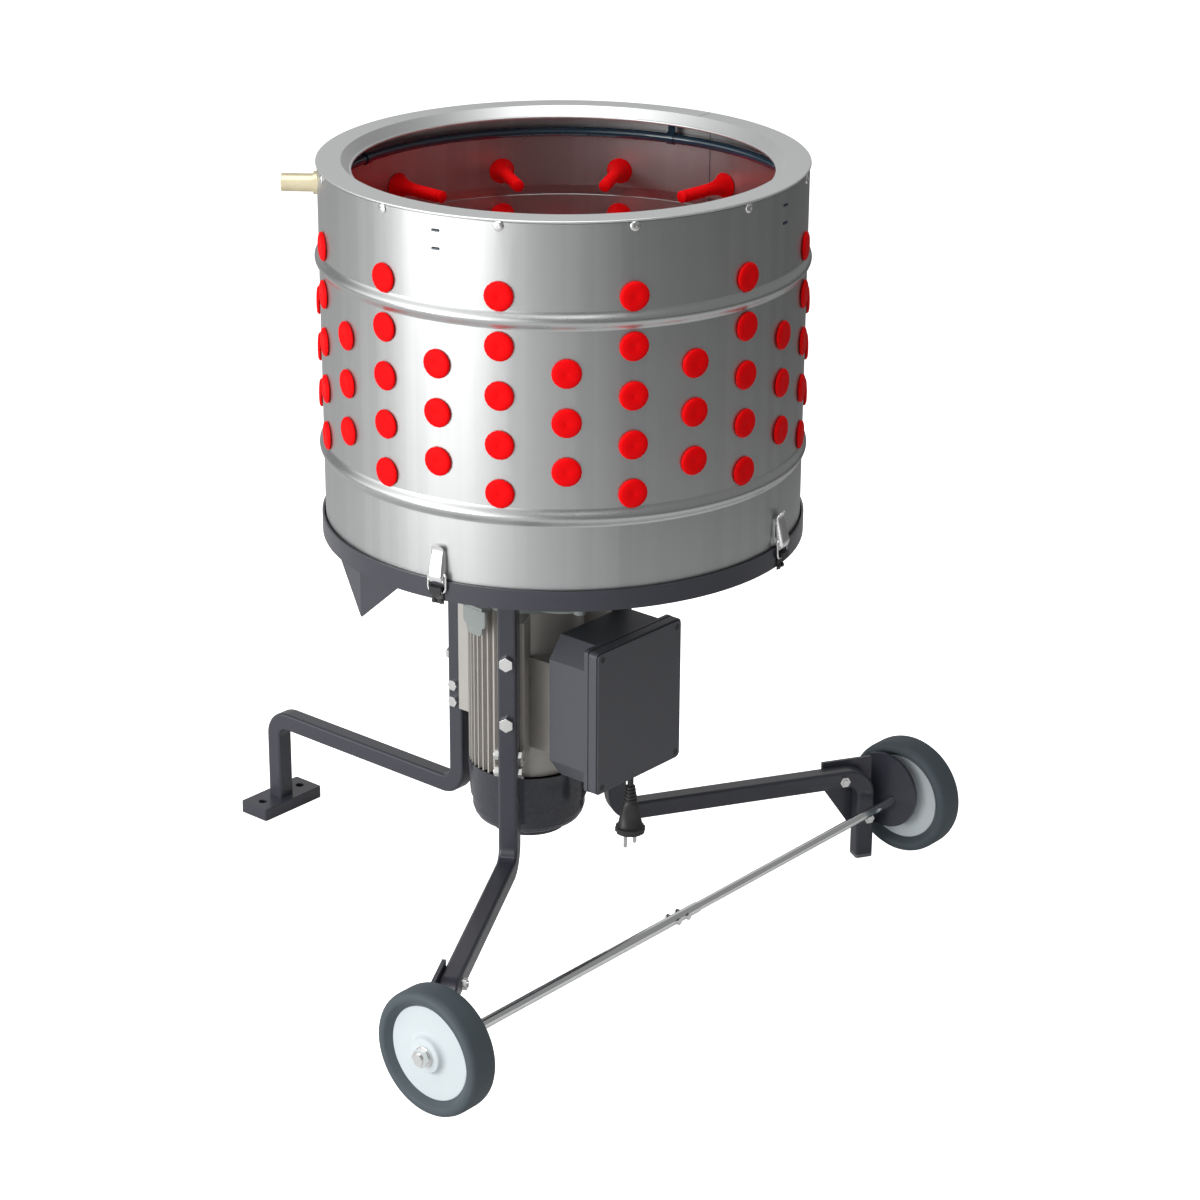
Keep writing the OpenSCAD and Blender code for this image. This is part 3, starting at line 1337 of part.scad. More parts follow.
on_floor() base_tray();
on_floor() feather_chute();
on_floor() drum_gasket();
on_floor() drum_shell();
on_floor() drum_fingers();
on_floor() rim_ring();
on_floor() rim_screws();
on_floor() spray_ring();
on_floor() spray_clips();
on_floor() water_inlet();
on_floor() latch_bases();
on_floor() latch_keepers();
on_floor() lever_left();
on_floor() lever_right();
on_floor() lever_back_right();
on_floor() lever_back_left();
on_floor() bail_left();
on_floor() bail_right();
on_floor() bail_back_right();
on_floor() bail_back_left();
on_floor() plate_shaft();
on_floor() drive_gear();
on_floor() feather_plate();
on_floor() plate_nut();
on_floor() plate_fingers();
on_floor() gear_case();
on_floor() gear_cover();
on_floor() shaft_seal();
on_floor() bearings();
on_floor() pinion();
on_floor() motor_frame();
on_floor() motor_stator();
on_floor() motor_rotor();
on_floor() cooling_fan();
on_floor() fan_cowl();
on_floor() box_body();
on_floor() lid_gasket();
on_floor() box_lid();
on_floor() lid_screws();
on_floor() contactor();
on_floor() run_capacitor();
on_floor() cord_grommet();
on_floor() mains_cord();
on_floor() plug_body();
on_floor() plug_pins();
on_floor() leg_front();
on_floor() leg_right();
on_floor() leg_foot();
on_floor() leg_caps();
on_floor() foot_plate();
on_floor() frame_bolts();
on_floor() wheel_brackets();
on_floor() bracket_bolts();
on_floor() axle_tube();
on_floor() axle_rod();
on_floor() axle_nuts();
on_floor() hub_front();
on_floor() tyre_front();
on_floor() hub_right();
on_floor() tyre_right();
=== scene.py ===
"""Looks of a drum poultry plucker, laid out as an add-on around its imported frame."""

import json
import math

import bmesh
import bpy
from bpy.props import (
    FloatProperty,
    FloatVectorProperty,
    IntProperty,
    PointerProperty,
)
from mathutils import Matrix, Vector

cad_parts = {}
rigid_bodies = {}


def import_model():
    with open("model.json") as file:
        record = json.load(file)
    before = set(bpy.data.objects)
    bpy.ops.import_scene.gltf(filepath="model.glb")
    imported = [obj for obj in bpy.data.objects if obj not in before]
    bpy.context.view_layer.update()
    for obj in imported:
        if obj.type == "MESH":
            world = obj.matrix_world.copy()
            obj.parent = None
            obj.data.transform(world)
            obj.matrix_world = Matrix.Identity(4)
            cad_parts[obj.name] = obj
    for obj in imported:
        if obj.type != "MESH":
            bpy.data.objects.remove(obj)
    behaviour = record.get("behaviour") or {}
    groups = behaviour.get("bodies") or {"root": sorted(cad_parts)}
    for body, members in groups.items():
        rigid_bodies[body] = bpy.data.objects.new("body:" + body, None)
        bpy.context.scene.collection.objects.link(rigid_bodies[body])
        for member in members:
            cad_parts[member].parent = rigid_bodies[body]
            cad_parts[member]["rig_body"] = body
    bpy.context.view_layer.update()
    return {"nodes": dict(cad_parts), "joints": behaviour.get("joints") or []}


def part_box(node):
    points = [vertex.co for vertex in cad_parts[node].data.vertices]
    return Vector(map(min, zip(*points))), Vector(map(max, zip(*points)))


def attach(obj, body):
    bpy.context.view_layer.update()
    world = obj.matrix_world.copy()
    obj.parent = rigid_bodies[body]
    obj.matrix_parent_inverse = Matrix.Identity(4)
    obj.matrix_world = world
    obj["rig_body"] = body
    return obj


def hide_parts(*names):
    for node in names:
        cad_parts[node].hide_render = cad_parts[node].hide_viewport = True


bl_info = {
    "name": "Drum Poultry Plucker",
    "version": (1, 0, 0),
    "blender": (4, 5, 0),
    "location": "3D View > Sidebar > Plucker",
    "description": "Builds the looks of a drum poultry plucker on wheels",
    "category": "Object",
}

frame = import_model()
JOINTS = {joint["name"]: joint for joint in frame["joints"]}
NODES = frame["nodes"]
MM = 0.001

# Heights and places in millimetres, directions in degrees; the two upright axes come
# from the frame. Beads and the lowest finger row are given above the drum's lower edge,
# and the plate's rings of fingers by their radius and count.
DRUM_AXIS = Vector(JOINTS["plate_spin"]["pos_m"][:2]).to_3d()
MOTOR_AXIS = Vector(JOINTS["motor_spin"]["pos_m"][:2]).to_3d()
BOX_DIRECTION = 318
LEAD_OUT = 150
LEAD_ACROSS = 31
DRUM_LOW = 573
DRUM_HIGH = 1036
DRUM_RADIUS = 300
BEADS = {"bead_lower": 108, "bead_upper": 348}
FINGER_ROW = 136
FINGER_PITCH = 60
PLATE_TOP = 590
PLATE_RINGS = {110: 8, 180: 14, 250: 20}
SEAM_ANGLE = 140
WHEEL_HALF = 21
LATCH_ANGLES = {"left": -30, "right": 60, "back_right": 150, "back_left": 240}


def at_drum(x, y, z):
    """A point given from the drum's axis, in millimetres, as a point of the frame."""
    return DRUM_AXIS + Vector((x, y, z)) * MM


def round_drum(angle, radius, z):
    """A point at an angle from the drum's front, a radius and a height."""
    a = math.radians(angle)
    return at_drum(radius * math.sin(a), -radius * math.cos(a), z)


def from_motor(direction, out, across, z):
    """A point along and across a direction from the motor's axis."""
    a = math.radians(direction)
    x = out * math.cos(a) - across * math.sin(a)
    y = out * math.sin(a) + across * math.cos(a)
    return MOTOR_AXIS + Vector((x, y, z)) * MM


def at_lead(z, out=0, across=0):
    """A point given from the middle of the mains lead at a height."""
    return from_motor(BOX_DIRECTION, LEAD_OUT + out, LEAD_ACROSS + across, z)


# Settings

class PluckerFingers(bpy.types.PropertyGroup):
    """Sizes and colour of the rubber fingers."""

    head: FloatProperty(
        name="Head radius", description="Radius of a finger's head",
        default=0.018, min=0.012, max=0.024, unit="LENGTH")
    length: FloatProperty(
        name="Length", description="From the wall to the finger's tip",
        default=0.086, min=0.05, max=0.11, unit="LENGTH")
    ribs: IntProperty(
        name="Ribs", description="Ribs round the shaft of a finger",
        default=12, min=3, max=16)
    colour: FloatVectorProperty(
        name="Rubber", description="Colour of the rubber",
        default=(0.92, 0.002, 0.004), min=0, max=1, size=3, subtype="COLOR")


class PluckerMetal(bpy.types.PropertyGroup):
    """Colours of the sheet metal and the bright fasteners."""

    drum: FloatVectorProperty(
        name="Drum sheet", description="Colour of the zinc-coated sheet",
        default=(0.56, 0.57, 0.57), min=0, max=1, size=3, subtype="COLOR")
    rim: FloatVectorProperty(
        name="Rim", description="Colour of the rim's sheet",
        default=(0.74, 0.75, 0.75), min=0, max=1, size=3, subtype="COLOR")
    bolts: FloatVectorProperty(
        name="Bolts", description="Colour of the bright bolts",
        default=(0.84, 0.84, 0.83), min=0, max=1, size=3, subtype="COLOR")


class PluckerPaint(bpy.types.PropertyGroup):
    """Colours of the painted and moulded pieces."""

    frame: FloatVectorProperty(
        name="Frame paint", description="Colour of the gloss paint",
        default=(0.039, 0.041, 0.055), min=0, max=1, size=3, subtype="COLOR")
    box: FloatVectorProperty(
        name="Control box", description="Colour of the box's plastic",
        default=(0.078, 0.081, 0.095), min=0, max=1, size=3, subtype="COLOR")
    tyre: FloatVectorProperty(
        name="Tyre", description="Colour of the grey rubber",
        default=(0.072, 0.092, 0.104), min=0, max=1, size=3, subtype="COLOR")
    hub: FloatVectorProperty(
        name="Hub", description="Colour of the wheel hubs",
        default=(0.62, 0.68, 0.70), min=0, max=1, size=3, subtype="COLOR")


class PluckerStage(bpy.types.PropertyGroup):
    """Camera and light."""

    lens: FloatProperty(
        name="Lens", description="Focal length on a 36 mm wide sensor",
        default=97.09, min=20, max=200, unit="CAMERA")
    key: FloatProperty(
        name="Key light", description="Power of the large light on the left",
        default=70, min=0, max=500, unit="POWER")
    sky: FloatProperty(
        name="Surroundings", description="Brightness of the pale surroundings",
        default=1.0, min=0, max=3, subtype="FACTOR")


# Shader nodes

def add_node(tree, kind, sockets=None, **settings):
    """Adds a node with its settings, and links or sets the named sockets."""
    made = tree.nodes.new(kind)
    for name, value in settings.items():
        setattr(made, name, value)
    for key, value in (sockets or {}).items():
        if isinstance(value, bpy.types.NodeSocket):
            tree.links.new(value, made.inputs[key])
        else:
            made.inputs[key].default_value = value
    return made


def math_node(tree, operation, *values):
    """A Math node's output for the given values or sockets."""
    return add_node(tree, "ShaderNodeMath", dict(enumerate(values)),
                    operation=operation).outputs[0]


def ranged(tree, value, before, after=(0.0, 1.0), **settings):
    """A Map Range node's output, from one pair of ends to another."""
    sockets = {"Value": value, "From Min": before[0], "From Max": before[1],
               "To Min": after[0], "To Max": after[1]}
    return add_node(tree, "ShaderNodeMapRange", sockets, **settings).outputs["Result"]


def shader_group(name, inputs, outputs):
    """A new shader group with named sockets, its input node and its output node."""
    tree = bpy.data.node_groups.new(name, "ShaderNodeTree")
    for label, kind, default in inputs:
        socket = tree.interface.new_socket(label, in_out="INPUT", socket_type=kind)
        if default is not None:
            socket.default_value = default
    for label, kind in outputs:
        tree.interface.new_socket(label, in_out="OUTPUT", socket_type=kind)
    return tree, tree.nodes.new("NodeGroupInput").outputs, tree.nodes.new("NodeGroupOutput")


VECTOR, FLOAT, COLOUR = "NodeSocketVector", "NodeSocketFloat", "NodeSocketColor"


def make_mottle():
    """Slow changes of tone over a surface."""
    tree, given, out = shader_group(
        "Mottled tone",
        [("Vector", VECTOR, None), ("Colour", COLOUR, (0.5, 0.5, 0.5, 1)),
         ("Scale", FLOAT, 8.0), ("Amount", FLOAT, 0.1)],
        [("Colour", COLOUR)])
    noise = add_node(tree, "ShaderNodeTexNoise",
                     {"Vector": given["Vector"], "Scale": given["Scale"],
                      "Detail": 4.0, "Roughness": 0.55})
    swing = math_node(tree, "SUBTRACT", noise.outputs["Fac"], 0.5)
    tone = math_node(tree, "MULTIPLY_ADD",
                     math_node(tree, "MULTIPLY", swing, given["Amount"]), 2.0, 1.0)
    toned = add_node(tree, "ShaderNodeHueSaturation",
                     {"Value": tone, "Color": given["Colour"]})
    tree.links.new(toned.outputs["Color"], out.inputs["Colour"])
    return tree


def make_grain():
    """Fine grain as a roughness between two values and a height for a bump."""
    tree, given, out = shader_group(
        "Fine grain",
        [("Vector", VECTOR, None), ("Scale", FLOAT, 400.0),
         ("Low", FLOAT, 0.3), ("High", FLOAT, 0.4)],
        [("Roughness", FLOAT), ("Height", FLOAT)])
    noise = add_node(tree, "ShaderNodeTexNoise",
                     {"Vector": given["Vector"], "Scale": given["Scale"],
                      "Detail": 3.0, "Roughness": 0.6})
    rough = ranged(tree, noise.outputs["Fac"], (0.3, 0.7), (given["Low"], given["High"]))
    tree.links.new(rough, out.inputs["Roughness"])
    tree.links.new(noise.outputs["Fac"], out.inputs["Height"])
    return tree


def make_handling():
    """Sparse smudges and fine rubbed spots, as a mask."""
    tree, given, out = shader_group(
        "Handling marks",
        [("Vector", VECTOR, None), ("Scale", FLOAT, 9.0), ("Amount", FLOAT, 0.3)],
        [("Mask", FLOAT)])
    cloud = add_node(tree, "ShaderNodeTexNoise",
                     {"Vector": given["Vector"], "Scale": given["Scale"], "Detail": 6.0})
    speck = add_node(tree, "ShaderNodeTexVoronoi",
                     {"Vector": given["Vector"],
                      "Scale": math_node(tree, "MULTIPLY", given["Scale"], 14.0)})
    high = ranged(tree, cloud.outputs["Fac"], (0.52, 0.72))
    near = ranged(tree, speck.outputs["Distance"], (0.35, 0.0))
    mixed = math_node(tree, "MULTIPLY", high, math_node(tree, "ADD", near, 0.4))
    tree.links.new(math_node(tree, "MULTIPLY", mixed, given["Amount"]),
                   out.inputs["Mask"])
    return tree


def make_wrap():
    """Unrolls the drum: the distance round its wall, out from its axis and up."""
    tree, given, out = shader_group(
        "Round the drum", [("Vector", VECTOR, None)],
        [("Vector", VECTOR), ("Angle", FLOAT)])
    moved = add_node(tree, "ShaderNodeVectorMath",
                     {0: given["Vector"], 1: DRUM_AXIS}, operation="SUBTRACT")
    split = add_node(tree, "ShaderNodeSeparateXYZ", {0: moved.outputs[0]})
    angle = math_node(tree, "ARCTAN2", split.outputs["X"],
                      math_node(tree, "MULTIPLY", split.outputs["Y"], -1.0))
    out_from_axis = add_node(tree, "ShaderNodeVectorMath",
                             {0: moved.outputs[0], 1: (1, 1, 0)}, operation="MULTIPLY")
    length = add_node(tree, "ShaderNodeVectorMath", {0: out_from_axis.outputs[0]},
                      operation="LENGTH")
    joined = add_node(tree, "ShaderNodeCombineXYZ",
                      {"X": math_node(tree, "MULTIPLY", angle, DRUM_RADIUS * MM),
                       "Y": length.outputs["Value"], "Z": split.outputs["Z"]})
    tree.links.new(joined.outputs[0], out.inputs["Vector"])
    tree.links.new(angle, out.inputs["Angle"])
    return tree


GROUPS = {}


def use_group(tree, name, sockets):
    """Places one of the shared groups in a material."""
    makers = {"mottle": make_mottle, "grain": make_grain,
              "handling": make_handling, "wrap": make_wrap}
    if name not in GROUPS:
        GROUPS[name] = makers[name]()
    return add_node(tree, "ShaderNodeGroup", sockets, node_tree=GROUPS[name]).outputs


FINISHED = {}

# Painted shade in bands round the rolled sheet: each flat stretch gets its own lighter or darker
# value, standing in for light falling differently on a faceted wall
FACET_SHADE_STEPS = 120


def finish(name, colour, rough, metallic=0.0, tone=(9.0, 0.08), grain=(900.0, 0.05),
           spread=0.05, marks=0.0, stretch=(1, 1, 1), wrapped=False, facet_shade=0.0,
           **shader):
    """A procedural material: mottled colour, painted facet shade where asked, grained roughness,
    bump and marks.
    """
    if name in FINISHED:
        return FINISHED[name]
    made = FINISHED[name] = bpy.data.materials.new("look_" + name)
    made.use_nodes = True
    tree = made.node_tree
    principled = tree.nodes["Principled BSDF"]
    place = add_node(tree, "ShaderNodeTexCoord").outputs["Object"]
    angle = None
    if wrapped:
        round_it = use_group(tree, "wrap", {"Vector": place})
        place, angle = round_it["Vector"], round_it["Angle"]
    place = add_node(tree, "ShaderNodeMapping",
                     {"Vector": place, "Scale": stretch}).outputs["Vector"]
    toned = use_group(tree, "mottle", {"Vector": place, "Colour": (*colour, 1),
                                       "Scale": tone[0], "Amount": tone[1]})["Colour"]
    if facet_shade and angle:
        # Painted shade: a random lighter or darker value for each facet's strip of wall,
        # standing in for light on flat facets
        step = math_node(tree, "FLOOR",
                         math_node(tree, "MULTIPLY", angle, FACET_SHADE_STEPS / math.tau))
        chance = add_node(tree, "ShaderNodeTexWhiteNoise", {"W": step},
                          noise_dimensions="1D").outputs["Value"]
        value = math_node(tree, "MULTIPLY_ADD", chance, facet_shade, 1 - facet_shade / 2)
        toned = add_node(tree, "ShaderNodeHueSaturation",
                         {"Value": value, "Color": toned}).outputs["Color"]
    grained = use_group(tree, "grain", {"Vector": place, "Scale": grain[0],
                                        "Low": rough - spread, "High": rough + spread})
    roughness = grained["Roughness"]
    if marks:
        mask = use_group(tree, "handling", {"Vector": place, "Amount": marks})["Mask"]
        roughness = math_node(tree, "MULTIPLY_ADD", mask, 0.35, roughness)
    bump = add_node(tree, "ShaderNodeBump",
                    {"Height": grained["Height"], "Strength": grain[1],
                     "Distance": 0.0004})
    tree.links.new(toned, principled.inputs["Base Color"])
    tree.links.new(roughness, principled.inputs["Roughness"])
    tree.links.new(bump.outputs["Normal"], principled.inputs["Normal"])
    principled.inputs["Metallic"].default_value = metallic
    for label, value in shader.items():
        principled.inputs[label.replace("_", " ")].default_value = value
    return made


def finishes(scene):
    """Every finish of the plucker, by the name of its use."""
    metal, paint = scene.plucker_metal, scene.plucker_paint
    return {
        # The drum's sheet carries painted facet shade in bands round its wall
        "drum": finish(
            "drum_sheet", metal.drum, 0.38, 1.0, tone=(3.0, 0.03), grain=(420.0, 0.05),
            spread=0.04, marks=0.1, wrapped=True, facet_shade=0.07),
        "rim": finish(
            "rim_sheet", metal.rim, 0.50, 1.0, tone=(4.0, 0.03), grain=(420.0, 0.05),
            spread=0.04, marks=0.05, wrapped=True),
        "bead": finish(
            "bead_sheet", metal.drum, 0.30, 1.0, tone=(3.0, 0.03), grain=(420.0, 0.04),
            spread=0.03, wrapped=True),
        "plate": finish(
            "plate_sheet", metal.drum, 0.36, 1.0, tone=(6.0, 0.06), grain=(500.0, 0.08),
            spread=0.07, marks=0.3),
        "seam": finish(
            "seam_weld", (0.20, 0.20, 0.21), 0.5, 1.0, tone=(60.0, 0.3),
            grain=(900.0, 0.2)),
        "rubber": finish(
            "finger_rubber", scene.plucker_fingers.colour, 0.55, tone=(40.0, 0.04),
            grain=(1500.0, 0.08), Specular_IOR_Level=0.07),
        "bolts": finish(
            "bolt_zinc", metal.bolts, 0.23, 1.0, tone=(60.0, 0.05), grain=(1400.0, 0.04),
            marks=0.2),
        "latch": finish(
            "latch_steel", (0.92, 0.92, 0.92), 0.20, 1.0, tone=(30.0, 0.03),
            grain=(1200.0, 0.03), marks=0.2),
        "keeper": finish(
            "keeper_black", (0.016, 0.016, 0.018), 0.36, tone=(60.0, 0.15),
            grain=(1300.0, 0.1), marks=0.2),
        "gasket": finish(
            "sealing_rubber", (0.012, 0.012, 0.012), 0.62, tone=(40.0, 0.2),
            grain=(1500.0, 0.2)),
        "pipe": finish(
            "spray_pipe", (0.014, 0.050, 0.080), 0.16, tone=(12.0, 0.2),
            grain=(600.0, 0.04), wrapped=True, Coat_Weight=0.6),
        "brass": finish(
            "inlet_brass", (0.80, 0.72, 0.50), 0.46, 0.8, tone=(90.0, 0.16),
            grain=(1100.0, 0.08), marks=0.4),
        "casting": finish(
            "gear_casting", (0.30, 0.33, 0.32), 0.55, tone=(14.0, 0.06),
            grain=(520.0, 0.12), marks=0.2),
        "motor": finish(
            "motor_casting", (0.50, 0.48, 0.45), 0.48, 0.35, tone=(14.0, 0.05),
            grain=(620.0, 0.10), marks=0.2),
        "cowl": finish(
            "cowl_black", (0.036, 0.038, 0.050), 0.24, tone=(10.0, 0.06),
            grain=(500.0, 0.03), marks=0.15, Coat_Weight=0.3),
        "paint": finish(
            "frame_paint", paint.frame, 0.34, tone=(8.0, 0.05), grain=(340.0, 0.02),
            marks=0.15, Coat_Weight=0.3, Coat_Roughness=0.15),
        "box": finish(
            "box_plastic", paint.box, 0.36, tone=(12.0, 0.03), grain=(800.0, 0.05),
            marks=0.1),
        "shaft": finish(
            "ground_steel", (0.56, 0.56, 0.56), 0.25, 1.0, tone=(20.0, 0.05),
            grain=(300.0, 0.06), stretch=(1, 1, 12)),
        "copper": finish(
            "stator_copper", (0.42, 0.19, 0.09), 0.42, 0.4, tone=(30.0, 0.2),
            grain=(500.0, 0.3), stretch=(1, 1, 0.2)),
        "fan": finish(
            "fan_plastic", (0.03, 0.03, 0.032), 0.5, tone=(20.0, 0.1),
            grain=(700.0, 0.15)),
        "cream": finish(
            "contactor_plastic", (0.64, 0.61, 0.54), 0.45, tone=(20.0, 0.05),
            grain=(900.0, 0.12)),
        "can": finish(
            "capacitor_can", (0.62, 0.63, 0.65), 0.33, 1.0, tone=(20.0, 0.05),
            grain=(400.0, 0.06), stretch=(1, 1, 8)),
        "lead": finish(
            "lead_rubber", (0.030, 0.030, 0.030), 0.45, tone=(50.0, 0.12),
            grain=(1500.0, 0.15), marks=0.3),
        "pin": finish(
            "pin_nickel", (0.70, 0.70, 0.70), 0.2, 1.0, tone=(50.0, 0.05),
            grain=(1000.0, 0.05), marks=0.3),
        "cap": finish(
            "leg_cap", (0.16, 0.17, 0.17), 0.5, tone=(40.0, 0.1), grain=(900.0, 0.15)),
        "axle": finish(
            "axle_zinc", (0.90, 0.91, 0.91), 0.12, 1.0, tone=(14.0, 0.04),
            grain=(260.0, 0.02), marks=0.1),
        "hub": finish(
            "hub_plastic", paint.hub, 0.50, tone=(20.0, 0.03), grain=(900.0, 0.12),
            Specular_IOR_Level=0.3),
        "tyre": finish(
            "tyre_rubber", paint.tyre, 0.55, tone=(16.0, 0.04), grain=(1100.0, 0.08),
            marks=0.15, Specular_IOR_Level=0.3),
    }


# Meshes

def turns(sides):
    """The angles of a ring of points."""
    return [2 * math.pi * k / sides for k in range(sides)]


def lathe(profile, sides):
    """A closed mesh turned round Z from (radius, height) pairs in millimetres."""
    made = bmesh.new()
    rings = []
    for radius, z in profile:
        radius, z = radius * MM, z * MM
        if radius:
            rings.append([made.verts.new((radius * math.cos(a), radius * math.sin(a), z))
                          for a in turns(sides)])
        else:
            rings.append([made.verts.new((0, 0, z))])
    join_rings(made, rings)
    return made


def join_rings(made, rings):
    """Faces between each ring of points and the next; a ring of one is a pole."""
    for low, high in zip(rings, rings[1:]):
        count = max(len(low), len(high))
        for k in range(count):
            corners = [low[k % len(low)], low[(k + 1) % len(low)],
                       high[(k + 1) % len(high)], high[k % len(high)]]
            unique = list(dict.fromkeys(corners))
            if len(unique) > 2:
                made.faces.new(unique)


def to_mesh(made, name, smooth=35):
    """Turns a bmesh into a mesh with outward faces and smooth rounds."""
    bmesh.ops.recalc_face_normals(made, faces=made.faces)
    return smooth_mesh(made, name, smooth)


def smooth_mesh(made, name, smooth):
    """Turns a bmesh into a mesh whose rounds are smooth below an angle in degrees."""
    mesh = bpy.data.meshes.new(name)
    made.to_mesh(mesh)
    made.free()
    mesh.shade_smooth()
    mesh.set_sharp_from_angle(angle=math.radians(smooth))
    return mesh


def add_piece(name, mesh, material, body="root", nodes=()):
    """Links a finished mesh, rides it on its body and hides the CAD nodes it stands for."""
    piece = bpy.data.objects.new(name, mesh)
    bpy.context.scene.collection.objects.link(piece)
    mesh.materials.clear()
    mesh.materials.append(material)
    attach(piece, body)
    if nodes:
        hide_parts(*nodes)
    return piece


def dress(material, *nodes):
    """Gives CAD nodes that keep their shape a material."""
    for node in nodes:
        mesh = NODES[node].data
        mesh.materials.clear()
        mesh.materials.append(material)


def body_of(node):
    """The name of the body that a CAD node belongs to."""
    return NODES[node]["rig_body"]


def soften(node, material, width, angle=34):
    """Replaces a CAD node by a copy of it whose sharp edges are rounded."""
    same_point, same_plane = 0.002 * MM, math.radians(0.3)
    made = bmesh.new()
    made.from_mesh(NODES[node].data)
    bmesh.ops.remove_doubles(made, verts=made.verts, dist=same_point)
    bmesh.ops.dissolve_limit(made, angle_limit=same_plane, verts=made.verts,
                             edges=made.edges)
    mesh = smooth_mesh(made, node + "_soft", angle)
    piece = add_piece(node + "_finish", mesh, material, body_of(node), [node])
    round_edges(piece, width, 2, angle, harden=True)


def round_edges(piece, width, segments, angle, harden=False):
    """Rounds a piece's edges that are sharper than an angle in degrees."""
    bevel = piece.modifiers.new("Rounded edges", "BEVEL")
    bevel.width = width
    bevel.segments = segments
    bevel.limit_method = "ANGLE"
    bevel.angle_limit = math.radians(angle)
    bevel.harden_normals = harden


def swept(points, radius, sides=12):
    """A closed round tube along a line of points."""
    made = bmesh.new()
    points = [Vector(p) for p in points]
    ahead = (points[1] - points[0]).normalized()
    side = ahead.orthogonal().normalized()
    rings = [[made.verts.new(points[0])]]
    for i, point in enumerate(points):
        before = points[max(i - 1, 0)]
        after = points[min(i + 1, len(points) - 1)]
        direction = (after - before).normalized()
        side = (side - direction * side.dot(direction)).normalized()
        other = direction.cross(side)
        rings.append([made.verts.new(
            point + (side * math.cos(a) + other * math.sin(a)) * radius)
            for a in turns(sides)])
    rings.append([made.verts.new(points[-1])])
    join_rings(made, rings)
    return made


# Geometry Nodes: like pieces in rows round an upright axis

RING_INPUTS = [
    ("Piece", "NodeSocketObject"), ("Columns", "NodeSocketInt"),
    ("Rows", "NodeSocketInt"), ("Radius", "NodeSocketFloat"),
    ("Lowest", "NodeSocketFloat"), ("Pitch", "NodeSocketFloat"),
    ("First angle", "NodeSocketFloat"), ("Tilt", "NodeSocketFloat"),
    ("Centre", "NodeSocketVector"), ("Material", "NodeSocketMaterial"),
]


def make_ring_tree():
    """Columns of a piece round an axis, as one real mesh with one material."""
    tree = bpy.data.node_groups.new("Rows round an axis", "GeometryNodeTree")
    for label, kind in RING_INPUTS:
        tree.interface.new_socket(label, in_out="INPUT", socket_type=kind)
    tree.interface.new_socket("Geometry", in_out="OUTPUT",
                              socket_type="NodeSocketGeometry")
    given = tree.nodes.new("NodeGroupInput").outputs
    index = tree.nodes.new("GeometryNodeInputIndex").outputs[0]
    column = math_node(tree, "FLOOR", math_node(
        tree, "DIVIDE", math_node(tree, "ADD", index, 0.5), given["Rows"]))
    row = math_node(tree, "SUBTRACT", index,
                    math_node(tree, "MULTIPLY", column, given["Rows"]))
    step = math_node(tree, "DIVIDE", 2 * math.pi, given["Columns"])
    angle = math_node(tree, "MULTIPLY_ADD", column, step, given["First angle"])
    sine, cosine = math_node(tree, "SINE", angle), math_node(tree, "COSINE", angle)
    minus = math_node(tree, "MULTIPLY", given["Radius"], -1.0)
    place = add_node(tree, "ShaderNodeCombineXYZ", {
        "X": math_node(tree, "MULTIPLY", given["Radius"], sine),
        "Y": math_node(tree, "MULTIPLY", minus, cosine),
        "Z": math_node(tree, "MULTIPLY_ADD", row, given["Pitch"], given["Lowest"])})
    moved = add_node(tree, "ShaderNodeVectorMath",
                     {0: place.outputs[0], 1: given["Centre"]}, operation="ADD")
    points = add_node(tree, "GeometryNodePoints", {
        "Count": math_node(tree, "MULTIPLY", given["Columns"], given["Rows"]),
        "Position": moved.outputs[0]})
    turn = add_node(tree, "ShaderNodeCombineXYZ", {"X": given["Tilt"], "Z": angle})
    piece = add_node(tree, "GeometryNodeObjectInfo", {"Object": given["Piece"]})
    many = add_node(tree, "GeometryNodeInstanceOnPoints", {
        "Points": points.outputs[0], "Instance": piece.outputs["Geometry"],
        "Rotation": turn.outputs[0]})
    real = add_node(tree, "GeometryNodeRealizeInstances",
                    {"Geometry": many.outputs["Instances"]})
    painted = add_node(tree, "GeometryNodeSetMaterial",
                       {"Geometry": real.outputs["Geometry"],
                        "Material": given["Material"]})
    out = tree.nodes.new("NodeGroupOutput")
    tree.links.new(painted.outputs["Geometry"], out.inputs["Geometry"])
    return tree


def ring_of(name, pattern, rings, material):
    """One mesh holding every ring of a pattern piece."""
    tree = bpy.data.node_groups.get("Rows round an axis") or make_ring_tree()
    sockets = {item.name: item.identifier for item in tree.interface.items_tree
               if item.in_out == "INPUT"}
    model = bpy.data.objects.new(name + "_pattern", pattern)
    bpy.context.scene.collection.objects.link(model)
    joined = bmesh.new()
    for sizes in rings:
        holder = bpy.data.objects.new(name + "_ring", bpy.data.meshes.new(name))
        bpy.context.scene.collection.objects.link(holder)
        rows = holder.modifiers.new("Rows", "NODES")
        rows.node_group = tree
        values = {"Piece": model, "Material": material, "Centre": DRUM_AXIS,
                  "Rows": 1, "Lowest": 0.0, "Pitch": 0.0, **sizes}
        for label, value in values.items():
            rows[sockets[label]] = value
        graph = bpy.context.evaluated_depsgraph_get()
        result = bpy.data.meshes.new_from_object(holder.evaluated_get(graph))
        joined.from_mesh(result)
        bpy.data.objects.remove(holder)
        bpy.data.meshes.remove(result)
    bpy.data.objects.remove(model)
    mesh = bpy.data.meshes.new(name)
    joined.to_mesh(mesh)
    joined.free()
    return mesh


